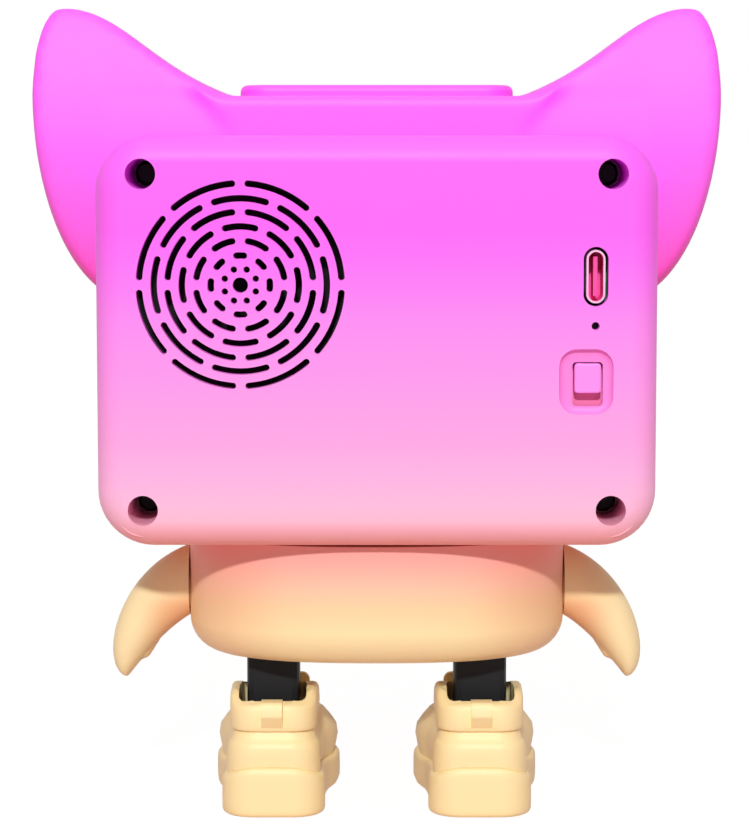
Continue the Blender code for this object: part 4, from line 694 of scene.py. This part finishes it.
for side, label in ((1, "left"), (-1, "right")):
    paw = leaf(ARM_OUTER, ARM_INNER, ARM_THICK, (ARM_FACE, 0, SHOULDER_Z), side, ARM_STATIONS, ARM_POINTS)
    arm = piece(f"{label}_paw", paw, arm_plastic_and_shade)
    for out, down in THUMB:
        thumb = bmesh.new()
        bmesh.ops.create_uvsphere(thumb, u_segments=24, v_segments=16, radius=THUMB_RADIUS)
        spot = (side * (ARM_FACE + out * MM), 0, SHOULDER_Z + down * MM)
        bmesh.ops.translate(thumb, verts=thumb.verts, vec=spot)
        carve(arm, "UNION", thumb)
    remesh(arm, ARM_VOXEL, SMOOTHING)
    low, high = sorted((side * ROOT_TRIM, side * ARM_ROOT))
    carve(arm, "DIFFERENCE", block((low, -ROOT_TRIM, ROOT_TRIM), (high, ROOT_TRIM, 3 * ROOT_TRIM)))
    low, high = sorted((side * POCKET_BACK, side * ARM_FACE))
    carve(arm, "DIFFERENCE", drum(0, (0, SHOULDER_Z), BOSS_RADIUS + SEAM, low, high))
    low, high = sorted((side * POCKET_BACK, side * PIN_END))
    carve(arm, "DIFFERENCE", drum(0, (0, SHOULDER_Z), PIN_BORE, low, high))
    shade(arm, EDGE_ANGLE)
    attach(arm, f"{label}_arm")
    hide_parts(f"{label}_arm")


# Neck
# A black ring screws up through the floor of the head, on three steel screws.
# Its open middle lets the wires through to the torso.

dress(black_plastic, "neck_ring")
dress(steel, "neck_screw_1", "neck_screw_2", "neck_screw_3")


# Front housing
# The front of the head and both ears are one hollow moulding, coated magenta at the ears, whose lower parts
# are painted hot pink as painted shade.
# The ears flow into the crown in a soft hollow, and posts inside take the cover's screws.

HEAD_HALF = 47.3 * MM
HEAD_BASE = 49.67 * MM
CROWN_TOP = 125.97 * MM
FRONT_Y = -29 * MM
PARTING_Y = 9 * MM
PARTING_SPARE = 4 * MM
HEAD_CORNER = 9.5 * MM
HEAD_EDGE = 4.5 * MM
HEAD_WALL = 2.2 * MM
SHELL_STEPS = 12
RIM_STEPS = 10
EAR_OUTER = ((-1.5, -35.6), (15.6, -28.2), (15.6, 15.4), (7.9, 15.3))
EAR_INNER = ((-29, -1.9), (-7.8, 2.6), (-3.5, 15.7), (7.9, 15.3))
EAR_THICK = 27 * MM
EAR_FLAT = 8.0
EAR_Y = -3.3 * MM
EAR_STATIONS = 48
EAR_POINTS = 64
EAR_BLEND = 1.5 * MM
# Painted shade: below about 112 mm the ears turn hot pink, standing in for shade on their down-facing lower
# parts; above that it is the ears' magenta.
EAR_FADE_AND_SHADE = (
    # height in millimetres and colour
    (88, paint(253, 84, 196)), (95, paint(253, 84, 200)), (103, paint(255, 93, 226)),
    (112, paint(255, 102, 246)), (122, paint(255, 104, 254)), (130, paint(255, 102, 254)),
    (141, paint(255, 100, 255)))
LEAN_START = 112 * MM
LEAN = 6.0
LEAN_STEP = 3 * MM
LEAN_CUTS = 12
FOLD_LOW = (24.7 * MM, 120 * MM)
FOLD_SLOPE = 0.93
BEYOND_LOW = 20 * MM
BEYOND_SIDE = 80 * MM
BEYOND_BACK = 60 * MM
BEYOND_TOP = 160 * MM
HEAD_VOXEL = 0.75 * MM
COVER_TOP = 118.97 * MM
SCREW_SPOTS = [(x * MM, z * MM) for x in (39.4, -39.4) for z in (112.57, 56.07)]
SCREW_BORE = 1.4 * MM
SCREW_DEPTH = 10 * MM
SCREW_SIDES = 24
POST_RADIUS = 4.6 * MM
POST_LENGTH = 24 * MM
LENS_LOW = (-40.3 * MM, 59.67 * MM)
LENS_HIGH = (40.3 * MM, 113.97 * MM)
LENS_CORNER = 6 * MM
LENS_LEDGE = 2 * MM
LENS_SEAT = 1.6 * MM
WINDOW_DEPTH = 4 * MM
WINDOW_STEPS = 6
RECESS_STEPS = 8
BUTTON_HALF = Vector((24.3, 8)) * MM
BUTTON_Y = -8 * MM
BUTTON_CORNER = 5 * MM
OPENING_DEPTH = 5 * MM
NECK_SPOT = (0, -3 * MM)
NECK_RADIUS = 8.3 * MM
NECK_HOLE = (48 * MM, 54 * MM)
NECK_SIDES = 64


def shell_block(low, high, corner, edge_level, edge):
    """Block with its four edges from front to back rounded, and the rim of one end rolled."""
    shape = soften(block(low, high), corner, SHELL_STEPS, along(1))
    return soften(shape, edge, RIM_STEPS, at(1, edge_level))


housing_coat_and_ear_shade = Finish("housing coat with painted ear shade")
on_ear = between(housing_coat_and_ear_shade, 0, HEAD_HALF - EAR_BLEND, HEAD_HALF + EAR_BLEND)
head_colour = faded(housing_coat_and_ear_shade, FADE)
# The ears' lower parts take their painted shade from this table.
ear_colour_and_shade = faded(housing_coat_and_ear_shade, EAR_FADE_AND_SHADE)
moulded(housing_coat_and_ear_shade, housing_coat_and_ear_shade.blend(on_ear, head_colour, ear_colour_and_shade))

housing_shape = shell_block((-HEAD_HALF, FRONT_Y, HEAD_BASE),
                            (HEAD_HALF, PARTING_Y + PARTING_SPARE, CROWN_TOP),
                            HEAD_CORNER, FRONT_Y, HEAD_EDGE)
housing = piece("front_shell", housing_shape, housing_coat_and_ear_shade)
for side in (1, -1):
    ear = leaf(EAR_OUTER, EAR_INNER, EAR_THICK, (HEAD_HALF, EAR_Y, CROWN_TOP), side,
               EAR_STATIONS, EAR_POINTS, EAR_FLAT)
    carve(housing, "UNION", ear)
    near, far = sorted((side * FOLD_LOW[0], side * BEYOND_SIDE))
    lean = block((near, PARTING_Y, LEAN_START), (far, BEYOND_BACK, BEYOND_TOP))
    sliced(lean, 2, [LEAN_START + level * LEAN_STEP for level in range(1, LEAN_CUTS + 1)])
    for vert in lean.verts:
        if vert.co.y < PARTING_Y + MM:
            vert.co.y -= LEAN * (vert.co.z - LEAN_START) ** 2
        if abs(vert.co.x) < FOLD_LOW[0] + MM:
            vert.co.x += side * FOLD_SLOPE * max(0.0, vert.co.z - FOLD_LOW[1])
    carve(housing, "DIFFERENCE", lean)
behind = block((-BEYOND_SIDE, PARTING_Y, BEYOND_LOW), (BEYOND_SIDE, BEYOND_BACK, BEYOND_TOP))
carve(housing, "DIFFERENCE", behind)
remesh(housing, HEAD_VOXEL, SMOOTHING)
cavity = shell_block((-HEAD_HALF + HEAD_WALL, FRONT_Y + HEAD_WALL, HEAD_BASE + HEAD_WALL),
                     (HEAD_HALF - HEAD_WALL, PARTING_Y - HEAD_WALL, CROWN_TOP - HEAD_WALL),
                     HEAD_CORNER - HEAD_WALL, FRONT_Y + HEAD_WALL, HEAD_EDGE - HEAD_WALL)
carve(housing, "DIFFERENCE", cavity)
mouth = block((-HEAD_HALF + HEAD_WALL, PARTING_Y - 2 * HEAD_WALL, HEAD_BASE + HEAD_WALL),
              (HEAD_HALF - HEAD_WALL, PARTING_Y + HEAD_WALL, COVER_TOP - HEAD_WALL))
carve(housing, "DIFFERENCE", soften(mouth, HEAD_CORNER - HEAD_WALL, SHELL_STEPS, along(1)))
window = block((LENS_LOW[0] + LENS_LEDGE, FRONT_Y - MM, LENS_LOW[1] + LENS_LEDGE),
               (LENS_HIGH[0] - LENS_LEDGE, FRONT_Y + WINDOW_DEPTH, LENS_HIGH[1] - LENS_LEDGE))
soften(window, LENS_CORNER - LENS_LEDGE, WINDOW_STEPS, along(1))
recess = block((LENS_LOW[0] - SEAM, FRONT_Y - MM, LENS_LOW[1] - SEAM),
               (LENS_HIGH[0] + SEAM, FRONT_Y + LENS_SEAT, LENS_HIGH[1] + SEAM))
soften(recess, LENS_CORNER + SEAM, RECESS_STEPS, along(1))
opening = block((-BUTTON_HALF.x - SEAM, BUTTON_Y - BUTTON_HALF.y - SEAM, CROWN_TOP - OPENING_DEPTH),
                (BUTTON_HALF.x + SEAM, BUTTON_Y + BUTTON_HALF.y + SEAM, CROWN_TOP + OPENING_DEPTH))
soften(opening, BUTTON_CORNER + SEAM, RECESS_STEPS, along(2))
carve(housing, "DIFFERENCE", window, recess, opening,
      drum(2, NECK_SPOT, NECK_RADIUS, *NECK_HOLE, NECK_SIDES))
carve(housing, "UNION",
      *[drum(1, spot, POST_RADIUS, PARTING_Y - POST_LENGTH, PARTING_Y) for spot in SCREW_SPOTS])
carve(housing, "DIFFERENCE", *[drum(1, spot, SCREW_BORE, PARTING_Y - SCREW_DEPTH, PARTING_Y + MM, SCREW_SIDES)
                               for spot in SCREW_SPOTS])
shade(housing, SHELL_ANGLE)
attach(housing, "figure")
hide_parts("front_housing")


# Display
# A smoked acrylic lens covers the front, with an LED module and its board screwed behind it.
# The module's four figures are printed seven-bar cells in unlit red, and show faintly through the lens.

SMOKE_HAZE = 9 * MM
SMOKE_ALPHA = 0.5
FIGURE_SPREAD = (-21.6, -8.4, 8.4, 21.6)
FIGURE_HALF = Vector((4.1, 7.6)) * MM
FIGURE_MIDDLE = 86.82 * MM
BAR_HALF = 0.8 * MM
BAR_GAP = 0.35 * MM
BAR_FRONT = -26.85 * MM
BAR_BACK = -26.5 * MM
BAR_CORNER = 0.6 * BAR_HALF
BAR_STEPS = 2
COLON = 3.4 * MM
UNLIT_SPECK = 0.7 * MM
BOARD_TRACE = 1.6 * MM
BOARD_RELIEF = 0.02 * MM
SLEEVE_GRAIN = 1.2 * MM
SLEEVE_RELIEF = 0.01 * MM
SLEEVE_PATCH = 12 * MM


def plate(spot, half, front, back, corner, steps):
    """Plate that stands across the depth round a spot, with its corners rounded."""
    shape = block((spot[0] - half[0], front, spot[1] - half[1]), (spot[0] + half[0], back, spot[1] + half[1]))
    return soften(shape, corner, steps, along(1))


def bar(x, z, half_x, half_z):
    """One bar of a figure."""
    return plate((x, z), (half_x, half_z), BAR_FRONT, BAR_BACK, BAR_CORNER, BAR_STEPS)


def merged(shapes):
    """One shape from several that stand apart."""
    whole = bmesh.new()
    for shape in shapes:
        mesh = bpy.data.meshes.new("part")
        shape.to_mesh(mesh)
        shape.free()
        whole.from_mesh(mesh)
        bpy.data.meshes.remove(mesh)
    return whole


smoked = Finish("smoked lens")
smoked_haze = smoked.noise(SMOKE_HAZE)
smoked.set(base_color=smoked.blend(smoked_haze, paint(24, 20, 26), paint(32, 27, 34)),
           roughness=0.05 + 0.06 * smoked_haze, alpha=SMOKE_ALPHA)
dress(smoked, "display_lens")

bars = []
for spread in FIGURE_SPREAD:
    x = spread * MM
    flat_half = FIGURE_HALF.x - BAR_HALF - BAR_GAP
    tall_half = FIGURE_HALF.y / 2 - BAR_HALF - BAR_GAP
    for level in (-1, 0, 1):
        bars.append(bar(x, FIGURE_MIDDLE + level * FIGURE_HALF.y, flat_half, BAR_HALF))
    for across in (-1, 1):
        for level in (-0.5, 0.5):
            bars.append(bar(x + across * FIGURE_HALF.x, FIGURE_MIDDLE + level * FIGURE_HALF.y,
                            BAR_HALF, tall_half))
for level in (-1, 1):
    bars.append(bar(0, FIGURE_MIDDLE + level * COLON, BAR_HALF, BAR_HALF))
unlit = Finish("unlit figure")
unlit_speck = unlit.noise(UNLIT_SPECK)
unlit.set(base_color=unlit.blend(unlit_speck, paint(206, 60, 62), paint(228, 84, 80)),
          roughness=0.3 + 0.2 * unlit_speck)
figures = piece("display_figures", merged(bars), unlit)
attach(figures, "figure")

board_green = Finish("circuit board")
board_trace = board_green.noise(BOARD_TRACE)
board_green.set(base_color=board_green.blend(board_trace, paint(18, 74, 40), paint(44, 116, 66)),
                roughness=0.35 + 0.2 * board_trace, normal=board_green.bump(board_trace, BOARD_RELIEF))
dress(board_green, "display_board", "control_board", "button_board")
dress(black_plastic, "led_module", "tact_switch", "battery_holder", "slide_switch", "speaker_cone",
      "speaker_frame")
sleeve = Finish("cell sleeve")
sleeve_grain = sleeve.noise(SLEEVE_GRAIN)
sleeve.set(base_color=sleeve.blend(sleeve.noise(SLEEVE_PATCH), paint(58, 84, 140), paint(74, 100, 158)),
           roughness=0.3 + 0.15 * sleeve_grain, normal=sleeve.bump(sleeve_grain, SLEEVE_RELIEF))
dress(sleeve, "battery_cell")
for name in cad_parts:
    if name.startswith(("display_board_screw", "control_board_screw", "button_board_screw")):
        dress(steel, name)
dress(steel, "speaker_magnet")


# Snooze bar
# A long button with full round corners stands a little proud of the crown.
# It is moulded in the housing's plastic, and springs back when pressed.

BUTTON_TOP = 128.05 * MM
BUTTON_SUNK = 1.9 * MM
BUTTON_STEPS = 10
BUTTON_EDGE = 1.2 * MM
BUTTON_EDGE_STEPS = 6
button_shape = block((-BUTTON_HALF.x, BUTTON_Y - BUTTON_HALF.y, CROWN_TOP - BUTTON_SUNK),
                     (BUTTON_HALF.x, BUTTON_Y + BUTTON_HALF.y, BUTTON_TOP))
soften(button_shape, BUTTON_CORNER, BUTTON_STEPS, along(2))
soften(button_shape, BUTTON_EDGE, BUTTON_EDGE_STEPS, at(2, BUTTON_TOP))
# The bar takes the torso's coat, so the painted flank shade also tints its ends.
button = piece("snooze_bar", button_shape, coat_and_flank_shade)
shade(button, EDGE_ANGLE)
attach(button, "snooze")
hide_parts("snooze_button")


# Charging socket
# The socket is a drawn shell with a tongue, coated hot pink, with a pale rim round its mouth.
# It is held behind the cover on the control board, with a dark gap all round it.

PORT_SPOT = (-36.6 * MM, 95.48 * MM)
HOT_PINK = paint(255, 84, 178)
RIM_PINK = paint(246, 206, 240)
RIM_STRAIGHT = 2.89 * MM
RIM_INNER = 1.25 * MM
socket_coat = Finish("hot pink socket")
across = socket_coat.level(0) - PORT_SPOT[0]
past = abs(socket_coat.level(2) - PORT_SPOT[1]) - RIM_STRAIGHT
past = past.maths("MAXIMUM", past)
on_rim = across.maths("GREATER_THAN", across * across + past * past, RIM_INNER ** 2)
moulded(socket_coat, socket_coat.blend(on_rim, HOT_PINK, RIM_PINK))
dress(socket_coat, "usb_socket")
dress(black_plastic, "microphone")


# Power switch
# A smooth moulded knob slides in a slot at the floor of the finger dish.
# A thin plastic shutter rides behind the slot on the knob and keeps dust out.

KNOB_SPOT = (-35.4 * MM, 78.39 * MM)
SHUTTER_HALF = Vector((3.6, 6.6)) * MM
SHUTTER_LOW = 25.1 * MM
SHUTTER_HIGH = 25.7 * MM
SHUTTER_CORNER = 0.5 * MM
knob_finish = Finish("knob plastic")
moulded(knob_finish, paint(255, 150, 248))
dress(knob_finish, "switch_knob")
shutter_finish = Finish("shutter plastic")
moulded(shutter_finish, paint(255, 132, 190))
shutter_shape = plate(KNOB_SPOT, SHUTTER_HALF, SHUTTER_LOW, SHUTTER_HIGH, SHUTTER_CORNER, EDGE_STEPS)
shutter = piece("dust_shutter", shutter_shape, shutter_finish)
shade(shutter, EDGE_ANGLE)
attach(shutter, "power_switch")


# Rear cover
# The cover is a deep moulded lid with rolled edges, coated in the same fade as the housing, and the floor of
# the switch dish is painted a deeper pink as painted shade.
# Grille, charging port, microphone hole and switch dish are cut in its face, and four black screws
# in deep wells hold it to the housing.

COVER_FRONT = 9.3 * MM
COVER_OPEN = 3 * MM
BACK_Y = 29 * MM
HOLE_DEPTH = 4 * MM
GRILLE = (22.8 * MM, 94.07 * MM)
GRILLE_SECTORS = 8
GRILLE_SECTOR = 2 * math.pi / GRILLE_SECTORS
GRILLE_HUB = 1.29 * MM
GRILLE_DOTS = (2.8 * MM, 0.55 * MM)
DOT_SIDES = 20
GRILLE_RINGS = (4.94, 7.42, 9.78, 12.2, 14.46, 16.94)
SLOT_WIDTH = 1.1 * MM
SLOT_INSET = 1.32 * MM
SLOT_END = 0.499 * SLOT_WIDTH
SLOT_END_STEPS = 6
SLOT_CUTS = 7
PORT_HALF = Vector((2.08, 4.97)) * MM
PORT_END = 0.998 * PORT_HALF.x
PORT_STEPS = 12
MIC_SPOT = (-36.6 * MM, 87.23 * MM)
MIC_HOLE = 0.68 * MM
SWITCH_SPOT = (-35.4 * MM, 77.39 * MM)
SWITCH_HALF = Vector((2.55, 3.7)) * MM
SWITCH_CORNER = 0.6 * MM
SWITCH_STEPS = 4
DISH_SPOT = (-35.1 * MM, 77.85 * MM)
DISH_HALF = Vector((4.55, 5.5)) * MM
DISH_CORNER = 3.0 * MM
DISH_STEPS = 8
# Painted shade: the dish floor is a deeper pink than the face, fading in with depth, standing in for shade in
# the recess.
DISH_PAINTED_SHADE = paint(255, 140, 226)
DISH_SLOPE = 1.1 * MM
DISH_SLOPE_STEPS = 6
DISH_DEPTH = 1.2 * MM
DISH_SHADE_BLEND = (0.1 * MM, 0.9 * MM)
WELL_RADIUS = 2.55 * MM
WELL_FLOOR = 12.3 * MM
SHANK_RADIUS = 1.5 * MM
OXIDE_BLOOM = 0.6 * MM


def bent_slot(radius, middle, low, high):
    """Straight slot with round ends, bent round the middle of the grille."""
    half = radius * GRILLE_SECTOR / 2 - SLOT_INSET + SLOT_WIDTH / 2
    straight = half - SLOT_WIDTH / 2
    shape = plate((0, 0), (half, SLOT_WIDTH / 2), low, high, SLOT_END, SLOT_END_STEPS)
    sliced(shape, 0, [cut / SLOT_CUTS * straight for cut in range(1 - SLOT_CUTS, SLOT_CUTS)])
    for vert in shape.verts:
        angle = middle - vert.co.x / radius
        reach = radius + vert.co.z
        vert.co = (GRILLE[0] + reach * math.cos(angle), vert.co.y, GRILLE[1] + reach * math.sin(angle))
    return shape


cover_coat_and_dish_shade = Finish("cover coat with painted dish shade")
# The dish floor's painted shade is mixed in here.
dish_shade_share = cover_coat_and_dish_shade.node("ShaderNodeMapRange", {"interpolation_type": "SMOOTHSTEP"},
                            {"Value": cover_coat_and_dish_shade.level(1), "From Min": BACK_Y - DISH_SHADE_BLEND[0],
                             "From Max": BACK_Y - DISH_SHADE_BLEND[1]})
for axis, middle, half in ((0, DISH_SPOT[0], DISH_HALF.x), (2, DISH_SPOT[1], DISH_HALF.y)):
    dish_shade_share = dish_shade_share * cover_coat_and_dish_shade.node("ShaderNodeMath", {"operation": "COMPARE"},
                                          {0: cover_coat_and_dish_shade.level(axis), 1: middle, 2: half})
moulded(cover_coat_and_dish_shade, cover_coat_and_dish_shade.blend(dish_shade_share, faded(cover_coat_and_dish_shade, FADE), DISH_PAINTED_SHADE))

cover_shape = shell_block((-HEAD_HALF, COVER_FRONT, HEAD_BASE), (HEAD_HALF, BACK_Y, COVER_TOP),
                          HEAD_CORNER, BACK_Y, HEAD_EDGE)
cover = piece("back_cover", cover_shape, cover_coat_and_dish_shade)
inside = shell_block((-HEAD_HALF + HEAD_WALL, COVER_FRONT - COVER_OPEN, HEAD_BASE + HEAD_WALL),
                     (HEAD_HALF - HEAD_WALL, BACK_Y - HEAD_WALL, COVER_TOP - HEAD_WALL),
                     HEAD_CORNER - HEAD_WALL, BACK_Y - HEAD_WALL, HEAD_EDGE - HEAD_WALL)
carve(cover, "DIFFERENCE", inside)
carve(cover, "UNION", *[drum(1, spot, POST_RADIUS, COVER_FRONT, BACK_Y - MM) for spot in SCREW_SPOTS])
through = (BACK_Y - HOLE_DEPTH, BACK_Y + MM)
grille = [drum(1, GRILLE, GRILLE_HUB, *through)]
for number in range(GRILLE_SECTORS):
    angle = (number + 0.5) * GRILLE_SECTOR
    spot = (GRILLE[0] + GRILLE_DOTS[0] * math.cos(angle), GRILLE[1] + GRILLE_DOTS[0] * math.sin(angle))
    grille.append(drum(1, spot, GRILLE_DOTS[1], *through, DOT_SIDES))
    for ring, radius in enumerate(GRILLE_RINGS):
        grille.append(bent_slot(radius * MM, (number + ring % 2 / 2) * GRILLE_SECTOR, *through))
wells = [drum(1, spot, WELL_RADIUS, WELL_FLOOR, BACK_Y + MM) for spot in SCREW_SPOTS]
shanks = [drum(1, spot, SHANK_RADIUS, COVER_FRONT - MM, WELL_FLOOR + MM, SCREW_SIDES) for spot in SCREW_SPOTS]
port = plate(PORT_SPOT, PORT_HALF, *through, PORT_END, PORT_STEPS)
switch_slot = plate(SWITCH_SPOT, SWITCH_HALF, *through, SWITCH_CORNER, SWITCH_STEPS)
mic_hole = drum(1, MIC_SPOT, MIC_HOLE, *through, SCREW_SIDES)
dish = plate(DISH_SPOT, DISH_HALF, BACK_Y - DISH_DEPTH, BACK_Y + MM, DISH_CORNER, DISH_STEPS)
soften(dish, DISH_SLOPE, DISH_SLOPE_STEPS, at(1, BACK_Y - DISH_DEPTH))
carve(cover, "DIFFERENCE", merged(grille), merged(wells), merged(shanks),
      merged([port, switch_slot, mic_hole]), dish)
shade(cover, SHELL_ANGLE)
blackened = Finish("black oxide steel")
oxide_bloom = blackened.noise(OXIDE_BLOOM, 3.0)
blackened.set(base_color=blackened.blend(oxide_bloom, paint(24, 22, 23), paint(40, 37, 38)), metallic=0.6,
              roughness=0.45 + 0.2 * oxide_bloom)
dress(blackened, "cover_screw_1", "cover_screw_2", "cover_screw_3", "cover_screw_4")
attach(cover, "figure")
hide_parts("rear_cover")


# Floor, light and camera
# The clock stands on a plain pale table in soft light from behind the camera.
# Table and sky show white to the camera, in glosses and through glass, and the table keeps a faint shadow.

WHITE = (1, 1, 1, 1)
FLOOR_COLOUR = paint(222, 188, 180)
FLOOR_HALF = 20
FLOOR_GLOW = 1.08
FLOOR_WHITENESS = 0.9
SKY_COLOUR = (1.0, 0.74, 0.7, 1)
SKY_STRENGTH = 0.2
RAYS = ("Is Camera Ray", "Is Glossy Ray", "Is Transmission Ray")
LAMP_COLOUR = (0.96, 1.0, 1.0)
LAMPS = (
    # name, height and turn in degrees, strength, width of the soft edge in degrees
    ("key", 30, -3, 2.14, 3), ("overhead", 75, 0, 0.9, 60))
CAMERA_SPOT = (0.0003, 0.469, 0.1158)
CAMERA_TILT = 5.603
SENSOR_WIDTH = 36
FOCAL_LENGTH = 126.52


class Sky(Finish):
    """The world, wired in the same way as a finish."""

    def __init__(self, name):
        world = bpy.data.worlds.new(name)
        bpy.context.scene.world = world
        world.use_nodes = True
        self.tree = world.node_tree
        self.shader = self.tree.nodes["Background"]


def whiten(finish, white, whiteness, output):
    """Shows white in place of the plain shader to the rays that meet it as a background."""
    straight, glossy, clear = (finish.node("ShaderNodeLightPath", {}, {}, ray) for ray in RAYS)
    share = straight.maths("MAXIMUM", straight.maths("MAXIMUM", straight, glossy), clear)
    plain = Wire(finish, finish.shader.outputs[0])
    mixed = finish.node("ShaderNodeMixShader", {}, {0: share * whiteness, 1: plain, 2: white})
    finish.feed(finish.tree.nodes[output].inputs[0], mixed)


floor_finish = Finish("white table")
floor_finish.set(base_color=FLOOR_COLOUR, roughness=0.9)
glow = floor_finish.node("ShaderNodeEmission", {}, {"Color": WHITE, "Strength": FLOOR_GLOW})
whiten(floor_finish, glow, FLOOR_WHITENESS, "Material Output")
floor_shape = bmesh.new()
bmesh.ops.create_grid(floor_shape, x_segments=1, y_segments=1, size=FLOOR_HALF)
floor = piece("table", floor_shape, floor_finish)

sky = Sky("studio")
sky.set(color=SKY_COLOUR, strength=SKY_STRENGTH)
whiten(sky, sky.node("ShaderNodeBackground", {}, {"Color": WHITE}), 1.0, "World Output")

for name, height, turn, strength, width in LAMPS:
    sun = bpy.data.lights.new(name, "SUN")
    sun.energy = strength
    sun.color = LAMP_COLOUR
    sun.angle = math.radians(width)
    lamp = bpy.data.objects.new(name, sun)
    lamp.rotation_euler = (math.radians(90 - height), 0, math.radians(180 + turn))
    bpy.context.scene.collection.objects.link(lamp)

lens = bpy.data.cameras.new("camera")
lens.sensor_fit = "HORIZONTAL"
lens.sensor_width = SENSOR_WIDTH
lens.lens = FOCAL_LENGTH
camera = bpy.data.objects.new("camera", lens)
camera.location = CAMERA_SPOT
camera.rotation_euler = (math.radians(90 - CAMERA_TILT), 0, math.pi)
bpy.context.scene.collection.objects.link(camera)
bpy.context.scene.camera = camera
bpy.context.scene.view_settings.view_transform = "Standard"
